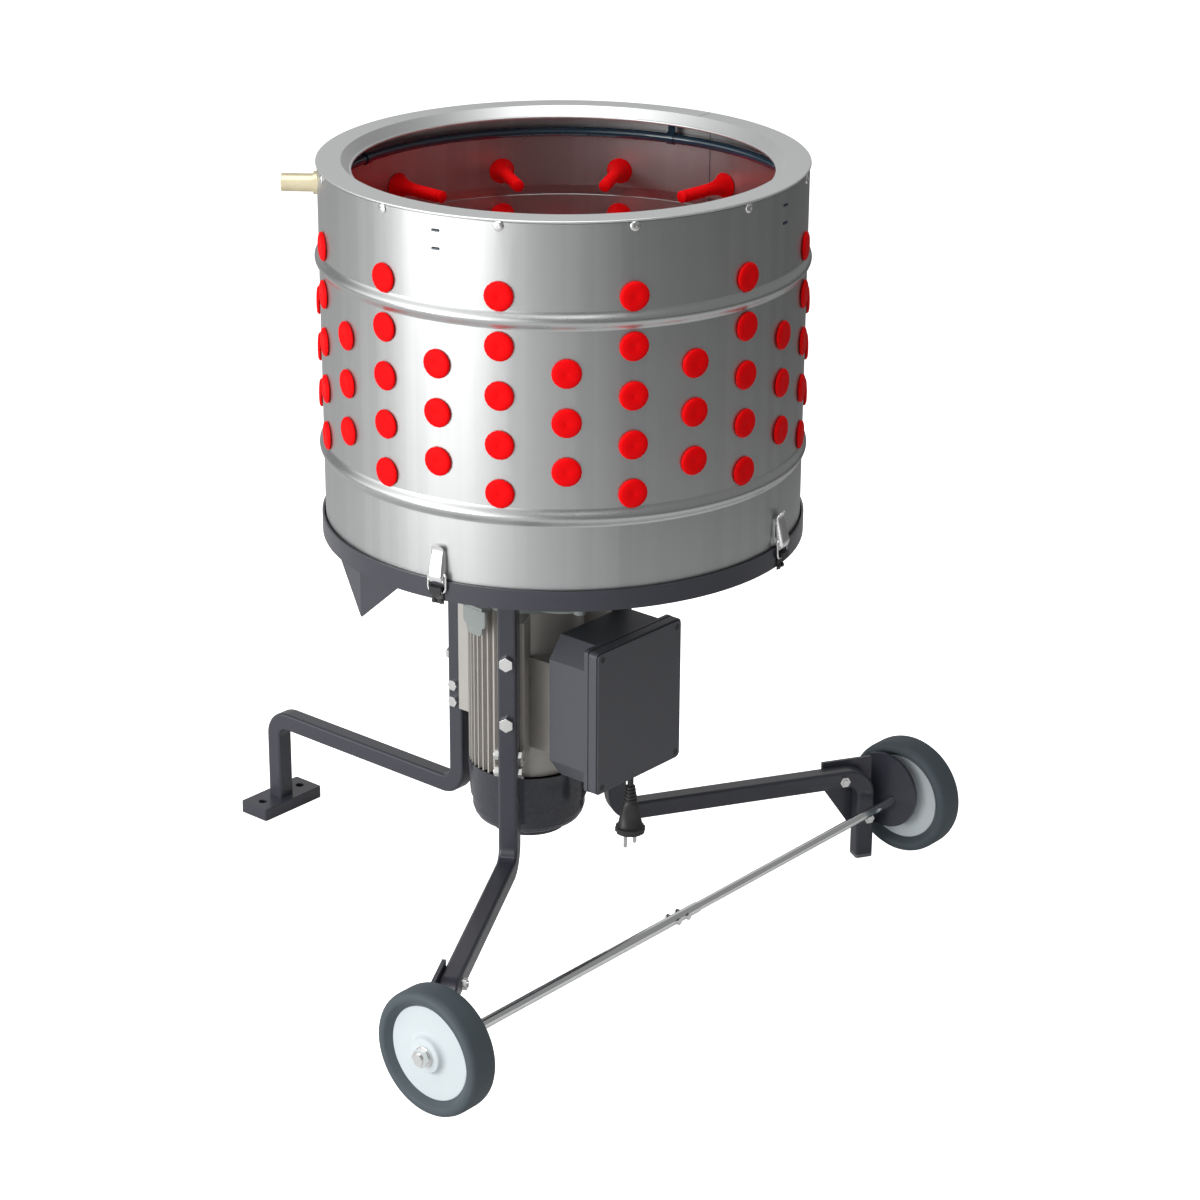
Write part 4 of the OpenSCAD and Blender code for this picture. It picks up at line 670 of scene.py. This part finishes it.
def finger_pattern(settings, wall):
    """A rubber finger: head outside the wall at zero, ribbed shaft downwards."""
    head, length = settings.head / MM, settings.length / MM
    gap, thick, neck, flare, shaft = 0.35, 4.5, 10.25, 16.8, 8.0
    under = wall + 0.95
    top = gap + thick
    ribs_from, ribs_to = under + 30, length - 7
    step = (ribs_to - ribs_from) / settings.ribs
    profile = [(0, top - 0.25), (1.0, top - 0.2), (1.5, top), (head * 0.6, top - 0.1),
               (head - 3.2, top - 0.5), (head - 1.3, top - 1.3), (head - 0.3, top - 2.5),
               (head, gap + thick * 0.3), (head - 0.5, gap + 0.4), (head - 1.6, gap),
               (neck, gap),
               (neck, -under), (flare - 0.4, -under), (flare, -under - 0.8),
               (flare - 1.4, -under - 2.6), (shaft + 4.6, -under - 8.5),
               (shaft + 1.6, -under - 17), (shaft + 0.3, -under - 28)]
    for i in range(settings.ribs):
        rib = -ribs_from - i * step
        profile += [(shaft, rib), (shaft, rib - 0.52 * step),
                    (shaft - 1.1, rib - 0.76 * step)]
    profile += [(shaft - 0.1, -length + 6.4), (shaft - 0.2, -length + 1.0),
                (shaft - 1.1, -length + 0.15), (0, -length)]
    return to_mesh(lathe(profile, 18), "finger", 50)


# Pieces

class PLUCKER_OT_stage(bpy.types.Operator):
    """Build the floor, the camera and the light"""

    bl_idname = "plucker.stage"
    bl_label = "Stage"

    def execute(self, context):
        """Make a pale floor, soft lights and the camera of the photograph."""
        settings = context.scene.plucker_stage
        self.camera(context.scene, settings)
        self.floor()
        self.world(context.scene, settings)
        self.lights(settings)
        context.scene.view_settings.view_transform = "Standard"
        context.scene.view_settings.look = "None"
        return {"FINISHED"}

    def camera(self, scene, settings):
        """The camera at the photograph's viewing angle."""
        data = bpy.data.cameras.new("camera")
        data.lens = settings.lens
        data.sensor_width = 36
        camera = bpy.data.objects.new("camera", data)
        scene.collection.objects.link(camera)
        stand, target, turn = (-96.73, -3784.20, 2002.4), (0.47, 71.80, 458.6), 0.327
        camera.location = Vector(stand) * MM
        aim = Vector(target) * MM - camera.location
        roll = Matrix.Rotation(math.radians(turn), 3, "Z")
        camera.rotation_euler = (aim.to_track_quat("-Z", "Y").to_matrix() @ roll).to_euler()
        data.clip_start, data.clip_end = 0.1, 200
        scene.camera = camera

    def floor(self):
        """A wide round floor, white to the camera and open to one that looks from below."""
        made = bmesh.new()
        bmesh.ops.create_circle(made, cap_ends=True, segments=64, radius=30)
        mesh = to_mesh(made, "floor")
        floor = bpy.data.objects.new("floor", mesh)
        bpy.context.scene.collection.objects.link(floor)
        material = bpy.data.materials.new("pale_floor")
        material.use_nodes = True
        tree = material.node_tree
        principled = tree.nodes["Principled BSDF"]
        seen = add_node(tree, "ShaderNodeLightPath").outputs["Is Camera Ray"]
        place = add_node(tree, "ShaderNodeTexCoord").outputs["Object"]
        split = add_node(tree, "ShaderNodeSeparateXYZ", {0: place})
        across = math_node(tree, "MULTIPLY_ADD", split.outputs["Y"], 0.3, split.outputs["X"])
        near_tone, far_tones, blend = 0.80, (0.85, 0.26), (0.7, 2.5)
        far = ranged(tree, across, (-1.0, 0.5), far_tones)
        length = add_node(tree, "ShaderNodeVectorMath", {0: place}, operation="LENGTH")
        away = ranged(tree, length.outputs["Value"], blend)
        tone = add_node(tree, "ShaderNodeMix", {"Factor": away, "A": near_tone, "B": far},
                        data_type="FLOAT")
        tree.links.new(tone.outputs[0], principled.inputs["Base Color"])
        principled.inputs["Roughness"].default_value = 0.9
        principled.inputs["Specular IOR Level"].default_value = 0.1
        tree.links.new(math_node(tree, "MULTIPLY", seen, 1.2),
                       principled.inputs["Emission Strength"])
        principled.inputs["Emission Color"].default_value = (1, 1, 1, 1)
        below = add_node(tree, "ShaderNodeNewGeometry").outputs["Backfacing"]
        tree.links.new(math_node(tree, "SUBTRACT", 1.0, below), principled.inputs["Alpha"])
        mesh.materials.append(material)

    def world(self, scene, settings):
        """Pale to the camera; it lights from the left and a little from behind."""
        world = bpy.data.worlds.new("surroundings")
        scene.world = world
        world.use_nodes = True
        tree = world.node_tree
        direction = add_node(tree, "ShaderNodeTexCoord").outputs["Generated"]
        base = 0.25
        lobes = [((-0.90, -0.44, 0.0), (0.50, 0.90), 1.5),
                 ((-0.1, 0.95, 0.3), (0.75, 0.97), 0.34)]
        light = base
        for toward, reach, bright in lobes:
            facing = add_node(tree, "ShaderNodeVectorMath", {0: direction, 1: toward},
                              operation="DOT_PRODUCT").outputs["Value"]
            lobe = ranged(tree, facing, reach, (0.0, bright), interpolation_type="SMOOTHSTEP")
            light = math_node(tree, "ADD", lobe, light)
        light = math_node(tree, "MULTIPLY", light, settings.sky)
        seen = add_node(tree, "ShaderNodeLightPath").outputs["Is Camera Ray"]
        strength = add_node(tree, "ShaderNodeMix", {"Factor": seen, "A": light, "B": 1.0},
                            data_type="FLOAT")
        background = tree.nodes["Background"]
        background.inputs["Color"].default_value = (1, 1, 1, 1)
        tree.links.new(strength.outputs[0], background.inputs["Strength"])

    def lights(self, settings):
        """A tall soft box on the left, a weak one below it and one above."""
        plan = [("key", (-3.3, -1.9, 1.2), (1.6, 2.4), settings.key * 0.78),
                ("top", (-0.2, -0.8, 3.6), (2.2, 2.2), settings.key * 0.70),
                ("low", (-2.6, -3.0, 0.4), (1.0, 0.6), settings.key * 0.14)]
        middle = Vector((0, 0, 0.6))
        for name, place, size, power in plan:
            data = bpy.data.lights.new(name, "AREA")
            data.shape = "RECTANGLE"
            data.size, data.size_y = size
            data.energy = power
            light = bpy.data.objects.new(name, data)
            bpy.context.scene.collection.objects.link(light)
            light.location = place
            aim = middle - light.location
            light.rotation_euler = aim.to_track_quat("-Z", "Y").to_euler()


class PLUCKER_OT_mains_lead(bpy.types.Operator):
    """Build the mains lead with its plug"""

    bl_idname = "plucker.mains_lead"
    bl_label = "Mains lead"

    def execute(self, context):
        """The lead hangs straight down from the box into the plug."""
        look = finishes(context.scene)
        heights = [246, 243, 240, 236, 232, 228, 224, 220, 216, 212, 208, 204,
                   200, 197, 193]
        route = [at_lead(z) for z in heights]
        lead = add_piece("mains_lead", to_mesh(swept(route, 0.004, 16), "mains_lead"),
                         look["lead"], "root", ["mains_cord"])
        plug = add_piece("plug_finish", self.plug(), look["lead"], "root",
                         ["plug_body"])
        dress(look["pin"], "plug_pins")
        dress(look["lead"], "cord_grommet")
        return {"FINISHED"}

    def plug(self):
        """Ribbed relief, flattened grip and round flange with four shallow notches."""
        sections = []
        relief_top, ribs, step = 213, 5, 4.6
        sides, notched, low = 32, 155.2, 147.2
        for i in range(ribs):
            wide = 9.2 - 0.7 * (ribs - 1 - i)
            z = relief_top - i * step
            sections += [(wide - 1.6, wide - 1.6, z, 2), (wide, wide, z - 0.5, 2),
                         (wide, wide, z - 2.7, 2), (wide - 1.6, wide - 1.6, z - 3.2, 2)]
        sections += [(9.6, 8.6, 189, 2.1), (11.0, 8.6, 184, 2.3), (12.4, 8.2, 176, 2.6),
                     (13.6, 8.4, 170, 2.6), (14.8, 10.5, 164, 2.4), (15.8, 13.2, 159, 2.2),
                     (16.6, 15.6, 156.3, 2.1), (17.4, 17.0, 155.4, 2), (19.3, 19.3, 155.0, 2),
                     (19.9, 19.9, 154.3, 2), (19.9, 19.9, 148.0, 2), (19.4, 19.4, low, 2)]
        made = bmesh.new()
        rings = [[made.verts.new(at_lead(relief_top))]]
        turn = math.radians(45)
        for a_size, b_size, z, power in sections:
            ring = []
            for k, t in enumerate(turns(sides)):
                c, s = math.cos(t), math.sin(t)
                x = a_size * math.copysign(abs(c) ** (2 / power), c)
                y = b_size * math.copysign(abs(s) ** (2 / power), s)
                if z < notched and k % 16 in (1, 15):
                    x, y = x * 0.86, y * 0.86
                across = x * math.sin(turn) + y * math.cos(turn)
                out = x * math.cos(turn) - y * math.sin(turn)
                ring.append(made.verts.new(at_lead(z, out, across)))
            rings.append(ring)
        rings.append([made.verts.new(at_lead(low))])
        join_rings(made, rings)
        return to_mesh(made, "plug", 40)


class PLUCKER_OT_fingers(bpy.types.Operator):
    """Build the rubber fingers of the drum and the plate"""

    bl_idname = "plucker.fingers"
    bl_label = "Rubber fingers"

    def execute(self, context):
        """Columns of five and three round the drum, three rings on the plate."""
        look = finishes(context.scene)
        settings = context.scene.plucker_fingers
        low, pitch = (DRUM_LOW + FINGER_ROW) * MM, FINGER_PITCH * MM
        rings = [{"Columns": 12, "Rows": rows, "Radius": DRUM_RADIUS * MM, "Lowest": lowest,
                  "Pitch": pitch, "First angle": first, "Tilt": math.pi / 2}
                 for rows, lowest, first in ((5, low, math.pi / 12), (3, low + pitch / 2, 0.0))]
        mesh = ring_of("drum_finger_set", finger_pattern(settings, 1.5), rings,
                       look["rubber"])
        add_piece("drum_finger_set", mesh, look["rubber"], "root", ["drum_fingers"])
        rings = [{"Columns": count, "Radius": out * MM, "Lowest": PLATE_TOP * MM,
                  "Tilt": math.pi, "First angle": math.pi / 2 + math.pi / count}
                 for out, count in PLATE_RINGS.items()]
        mesh = ring_of("plate_finger_set", finger_pattern(settings, 3.0), rings,
                       look["rubber"])
        add_piece("plate_finger_set", mesh, look["rubber"], "plate", ["plate_fingers"])
        return {"FINISHED"}


class PLUCKER_OT_drum(bpy.types.Operator):
    """Finish the drum, its rim and its water pipe"""

    bl_idname = "plucker.drum"
    bl_label = "Drum and rim"

    def execute(self, context):
        """Sheet finishes, the beads, the two seams and the screws."""
        look = finishes(context.scene)
        dress(look["drum"], "drum_shell")
        dress(look["rim"], "rim_ring")
        dress(look["pipe"], "spray_ring", "spray_clips")
        dress(look["brass"], "water_inlet")
        for name, rise in BEADS.items():
            add_piece(name, self.bead(DRUM_LOW + rise), look["bead"])
        mesh = ring_of("rim_screw_set", self.screw(),
                       [{"Columns": 12, "Radius": (DRUM_RADIUS + 0.3) * MM,
                         "Lowest": (DRUM_HIGH - 4.5) * MM, "First angle": math.pi / 12,
                         "Tilt": math.pi / 2}], look["bolts"])
        add_piece("rim_screw_set", mesh, look["bolts"], nodes=["rim_screws"])
        add_piece("drum_seams", self.seams(), look["seam"])
        return {"FINISHED"}

    def bead(self, height):
        """A rolled bead that runs into the wall above and below with a fillet."""
        crest, half, steps = 5.4, 11.5, 14
        made = bmesh.new()
        outline = [(DRUM_RADIUS - 0.4, half)]
        for i in range(steps + 1):
            t = 1 - 2 * i / steps
            swell = (0.5 + 0.5 * math.cos(math.pi * t)) ** 0.8
            outline.append((DRUM_RADIUS + 0.02 + crest * swell, half * t))
        outline += [(DRUM_RADIUS - 0.4, -half)]
        sides = 192
        rings = []
        for radius, rise in outline:
            rings.append([made.verts.new(round_drum(360 * k / sides, radius, height + rise))
                          for k in range(sides)])
        join_rings(made, rings + [rings[0]])
        return to_mesh(made, "bead", 60)

    def screw(self):
        """A low domed screw head with a dimple in its middle, and its shank."""
        profile = [(0, 1.1), (1.3, 1.2), (1.7, 2.3), (3.0, 2.2), (4.6, 1.75), (5.6, 1.15),
                   (6.1, 0.5), (6.2, 0.0), (2.5, 0.0), (2.5, -8.0), (0, -8.2)]
        return to_mesh(lathe(profile, 20), "rim_screw", 40)

    def seams(self):
        """The rim's butt joint and the weld down the drum's inner wall."""
        made = bmesh.new()
        rim_top, half = DRUM_HIGH + 4, 0.5
        strips = [(273, 298, rim_top - 0.5, rim_top + 0.02),
                  (297.9, 298.7, DRUM_LOW + 40, DRUM_HIGH - 20)]
        for near, away, low, high in strips:
            corners = []
            for z in (low, high):
                for radius in (near, away):
                    for turn in (-half, half):
                        angle = SEAM_ANGLE + math.degrees(turn / radius)
                        corners.append(made.verts.new(round_drum(angle, radius, z)))
            for face in ((0, 1, 3, 2), (4, 5, 7, 6), (0, 1, 5, 4), (2, 3, 7, 6),
                         (0, 2, 6, 4), (1, 3, 7, 5)):
                made.faces.new([corners[i] for i in face])
        return to_mesh(made, "seams")


class PLUCKER_OT_latches(bpy.types.Operator):
    """Finish the four latches"""

    bl_idname = "plucker.latches"
    bl_label = "Latches"

    def execute(self, context):
        """Levers and bails on their own bodies, keepers and bases on the frame."""
        look = finishes(context.scene)
        soften("latch_bases", look["latch"], 0.0004)
        soften("latch_keepers", look["keeper"], 0.0004)
        for side, angle in LATCH_ANGLES.items():
            add_piece("lever_cap_" + side, self.lever(angle), look["latch"],
                      "lever_" + side, ["lever_" + side])
            mesh = to_mesh(swept(self.bail_route(angle), 0.0015, 12), "bail", 60)
            add_piece("bail_wire_" + side, mesh, look["latch"], "bail_" + side,
                      ["bail_" + side])
        return {"FINISHED"}

    def place(self, angle, across, radius, z):
        """A point across a latch, at a radius from the drum's axis and a height."""
        a = math.radians(angle)
        return at_drum(radius * math.sin(a) - across * math.cos(a),
                       -radius * math.cos(a) - across * math.sin(a), z)

    def lever(self, angle):
        """A pressed cap with folded sides, rounded at its lifted tip."""
        sheet = 1.1 * MM
        rows = [(589.4, 9.2, 310.8, 305.6), (592, 9.5, 312.5, 305.2), (596, 9.5, 313.9, 305.0),
                (600, 9.5, 313.2, 304.8), (606, 9.3, 311.6, 304.3), (614, 9.0, 309.5, 303.8),
                (622, 8.7, 307.4, 303.2), (627.5, 8.5, 306.0, 303.2), (630, 8.4, 306.1, 303.9),
                (632, 8.0, 306.8, 305.2), (633.6, 7.0, 307.6, 306.5), (634.8, 5.2, 308.3, 307.5)]
        made = bmesh.new()
        grid = []
        for z, half, front, back in rows:
            turn = min(1.6, (front - back) * 0.5)
            edge = [(half, back), (half, front - turn), (half - 0.3 * turn, front - 0.3 * turn),
                    (half - turn, front), (half * 0.5, front + 0.15)]
            line = [(-x, r) for x, r in edge] + [(x, r) for x, r in reversed(edge)]
            grid.append([made.verts.new(self.place(angle, x, r, z)) for x, r in line])
        for low, high in zip(grid, grid[1:]):
            for k in range(len(low) - 1):
                made.faces.new([low[k], low[k + 1], high[k + 1], high[k]])
        bmesh.ops.recalc_face_normals(made, faces=made.faces)
        outward = self.place(angle, 0, 1, 0) - self.place(angle, 0, 0, 0)
        spans = len(grid[0]) - 1
        middle = made.faces[len(rows) // 2 * spans + spans // 2]
        inward = -sheet if middle.normal.dot(outward) < 0 else sheet
        bmesh.ops.solidify(made, geom=made.faces[:], thickness=inward)
        return to_mesh(made, "lever_cap", 45)

    def bail_route(self, angle):
        """The wire from one ear of the lever under the keeper's lip to the other."""
        pin, bar = Vector((307, 599)), Vector((308, 577))
        side = [(8.6, 0), (10.0, 0), (11.2, 0.03), (11.9, 0.08), (12.0, 0.16), (12.0, 0.4),
                (12.0, 0.70), (11.8, 0.82), (11.0, 0.92), (9.8, 0.98), (8.2, 1.0), (4.0, 1.0)]
        route = [(x, t) for x, t in side] + [(-x, t) for x, t in reversed(side)]
        return [self.place(angle, x, *(pin.lerp(bar, t))) for x, t in route]


class PLUCKER_OT_tray(bpy.types.Operator):
    """Finish the base tray and the feather chute"""

    bl_idname = "plucker.tray"
    bl_label = "Base tray"

    def execute(self, context):
        """Gloss paint on the tray and the chute, rubber between tray and drum."""
        look = finishes(context.scene)
        dress(look["paint"], "base_tray")
        soften("feather_chute", look["paint"], 0.0005)
        dress(look["gasket"], "drum_gasket")
        return {"FINISHED"}


class PLUCKER_OT_drive(bpy.types.Operator):
    """Finish the feather plate and the gears"""

    bl_idname = "plucker.drive"
    bl_label = "Plate and gears"

    def execute(self, context):
        """Castings outside, ground steel inside."""
        look = finishes(context.scene)
        dress(look["casting"], "gear_case", "gear_cover")
        dress(look["gasket"], "shaft_seal")
        dress(look["shaft"], "plate_shaft", "drive_gear", "pinion", "bearings")
        dress(look["plate"], "feather_plate")
        dress(look["bolts"], "plate_nut")
        tab = add_piece("lifting_tab", self.tab(), look["casting"])
        round_edges(tab, 0.0012, 3, 30)
        return {"FINISHED"}

    def tab(self):
        """The rounded tab that hangs from the case over the motor's fins."""
        direction, out, thick = 223, 91, 4.6
        half, top, low, corner = 21, 457, 432, 8
        outline = [(-half, top), (-half, low + corner)]
        for middle, start in ((-half + corner, 180), (half - corner, 270)):
            for k in range(7):
                a = math.radians(start + 15 * k)
                outline.append((middle + corner * math.cos(a),
                                low + corner + corner * math.sin(a)))
        outline += [(half, low + corner), (half, top)]
        outline = list(dict.fromkeys((round(y, 4), round(z, 4)) for y, z in outline))
        made = bmesh.new()
        rings = [[made.verts.new(from_motor(direction, out + depth, y, z))
                  for y, z in outline] for depth in (0, thick)]
        join_rings(made, rings)
        for ring in rings:
            made.faces.new(ring)
        return to_mesh(made, "lifting_tab", 40)


class PLUCKER_OT_motor(bpy.types.Operator):
    """Finish the motor"""

    bl_idname = "plucker.motor"
    bl_label = "Motor"

    def execute(self, context):
        """Ribbed casting, moulded cowl and the inner pieces."""
        look = finishes(context.scene)
        dress(look["motor"], "motor_frame")
        dress(look["copper"], "motor_stator")
        dress(look["shaft"], "motor_rotor")
        dress(look["fan"], "cooling_fan")
        dress(look["cowl"], "fan_cowl")
        return {"FINISHED"}


class PLUCKER_OT_control_box(bpy.types.Operator):
    """Finish the control box"""

    bl_idname = "plucker.control_box"
    bl_label = "Control box"

    def execute(self, context):
        """Moulded box and lid with rounded edges, and what is inside."""
        look = finishes(context.scene)
        soften("box_body", look["box"], 0.0012)
        soften("box_lid", look["box"], 0.0008)
        dress(look["box"], "lid_gasket")
        dress(look["keeper"], "lid_screws")
        dress(look["cream"], "contactor")
        dress(look["can"], "run_capacitor")
        return {"FINISHED"}


class PLUCKER_OT_legs(bpy.types.Operator):
    """Finish the legs, the foot plate and the bolts"""

    bl_idname = "plucker.legs"
    bl_label = "Legs"

    def execute(self, context):
        """Gloss-painted square tubes with bright bolts."""
        look = finishes(context.scene)
        dress(look["paint"], "leg_front", "leg_right", "leg_foot")
        dress(look["cap"], "leg_caps")
        soften("foot_plate", look["paint"], 0.0012)
        soften("frame_bolts", look["bolts"], 0.0007)
        return {"FINISHED"}


class PLUCKER_OT_wheels(bpy.types.Operator):
    """Finish the wheels, their brackets and the axle"""

    bl_idname = "plucker.wheels"
    bl_label = "Wheels and axle"

    def execute(self, context):
        """Grey tyres on pale hubs, a bright axle between painted brackets."""
        look = finishes(context.scene)
        soften("wheel_brackets", look["paint"], 0.0008)
        soften("bracket_bolts", look["bolts"], 0.0007)
        soften("axle_nuts", look["bolts"], 0.0006)
        dress(look["axle"], "axle_tube", "axle_rod")
        for side, bore in (("front", 7.05), ("right", 6.05)):
            body = body_of("hub_" + side)
            half = WHEEL_HALF
            face = half - 8.6
            outline = [(bore, half - 0.3), (20.4, half - 0.3), (21.6, half - 0.9),
                       (22.3, half - 2.2), (23.0, half - 4.4), (24.4, half - 6.4),
                       (26.6, half - 7.8), (30.0, face), (59.4, face), (59.9, face - 0.5)]
            mesh = self.turned("hub_" + side, outline)
            add_piece("hub_disc_" + side, mesh, look["hub"], body, ["hub_" + side])
            outline = [(59.9, face - 0.3), (60.3, face + 0.3), (61.6, face + 1.6),
                       (66.2, half - 1.9), (67.4, half - 0.6), (69.0, half - 0.1),
                       (72.0, half), (74.6, half - 0.5), (77.0, half - 2.0),
                       (78.8, half - 4.4), (79.7, half - 7.4), (80.0, half - 10.5)]
            mesh = self.turned("tyre_" + side, outline)
            add_piece("tyre_tread_" + side, mesh, look["tyre"], body, ["tyre_" + side])
        return {"FINISHED"}

    def turned(self, node, outline):
        """A wheel piece turned round its axle, from one half of its section."""
        low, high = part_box(node)
        middle = (Vector(low) + Vector(high)) / 2
        axle = Vector(JOINTS["wheel_front_spin"]["axis"]).normalized()
        across = axle.orthogonal().normalized()
        other = axle.cross(across)
        outline = outline + [(r, -z) for r, z in reversed(outline)]
        made = bmesh.new()
        rings = []
        for radius, z in outline:
            rings.append([made.verts.new(middle + axle * z * MM + radius * MM * (
                across * math.cos(a) + other * math.sin(a))) for a in turns(96)])
        join_rings(made, rings + [rings[0]])
        return to_mesh(made, node, 40)


class PLUCKER_PT_panel(bpy.types.Panel):
    """Lists the plucker's pieces and settings."""

    bl_label = "Poultry plucker"
    bl_idname = "PLUCKER_PT_panel"
    bl_space_type = "VIEW_3D"
    bl_region_type = "UI"
    bl_category = "Plucker"

    def draw(self, context):
        """Draw every setting and one button for each operator."""
        for group in SETTINGS:
            settings = getattr(context.scene, group)
            box = self.layout.box()
            for name in settings.__annotations__:
                box.prop(settings, name)
        for step in STEPS:
            self.layout.operator(step.bl_idname)


SETTINGS = {"plucker_fingers": PluckerFingers, "plucker_metal": PluckerMetal,
            "plucker_paint": PluckerPaint, "plucker_stage": PluckerStage}
STEPS = (PLUCKER_OT_stage, PLUCKER_OT_mains_lead, PLUCKER_OT_fingers, PLUCKER_OT_drum,
         PLUCKER_OT_latches, PLUCKER_OT_tray, PLUCKER_OT_drive, PLUCKER_OT_motor,
         PLUCKER_OT_control_box, PLUCKER_OT_legs, PLUCKER_OT_wheels)


def register():
    """Register the settings, the operators and the panel."""
    for group in SETTINGS.values():
        bpy.utils.register_class(group)
    for step in STEPS:
        bpy.utils.register_class(step)
    bpy.utils.register_class(PLUCKER_PT_panel)
    for name, group in SETTINGS.items():
        setattr(bpy.types.Scene, name, PointerProperty(type=group))


def unregister():
    """Take back what register did."""
    for name in SETTINGS:
        delattr(bpy.types.Scene, name)
    bpy.utils.unregister_class(PLUCKER_PT_panel)
    for step in reversed(STEPS):
        bpy.utils.unregister_class(step)
    for group in reversed(list(SETTINGS.values())):
        bpy.utils.unregister_class(group)


def main():
    """Build every piece in order."""
    register()
    for step in STEPS:
        area, name = step.bl_idname.split(".")
        getattr(getattr(bpy.ops, area), name)()


if __name__ == "__main__":
    main()
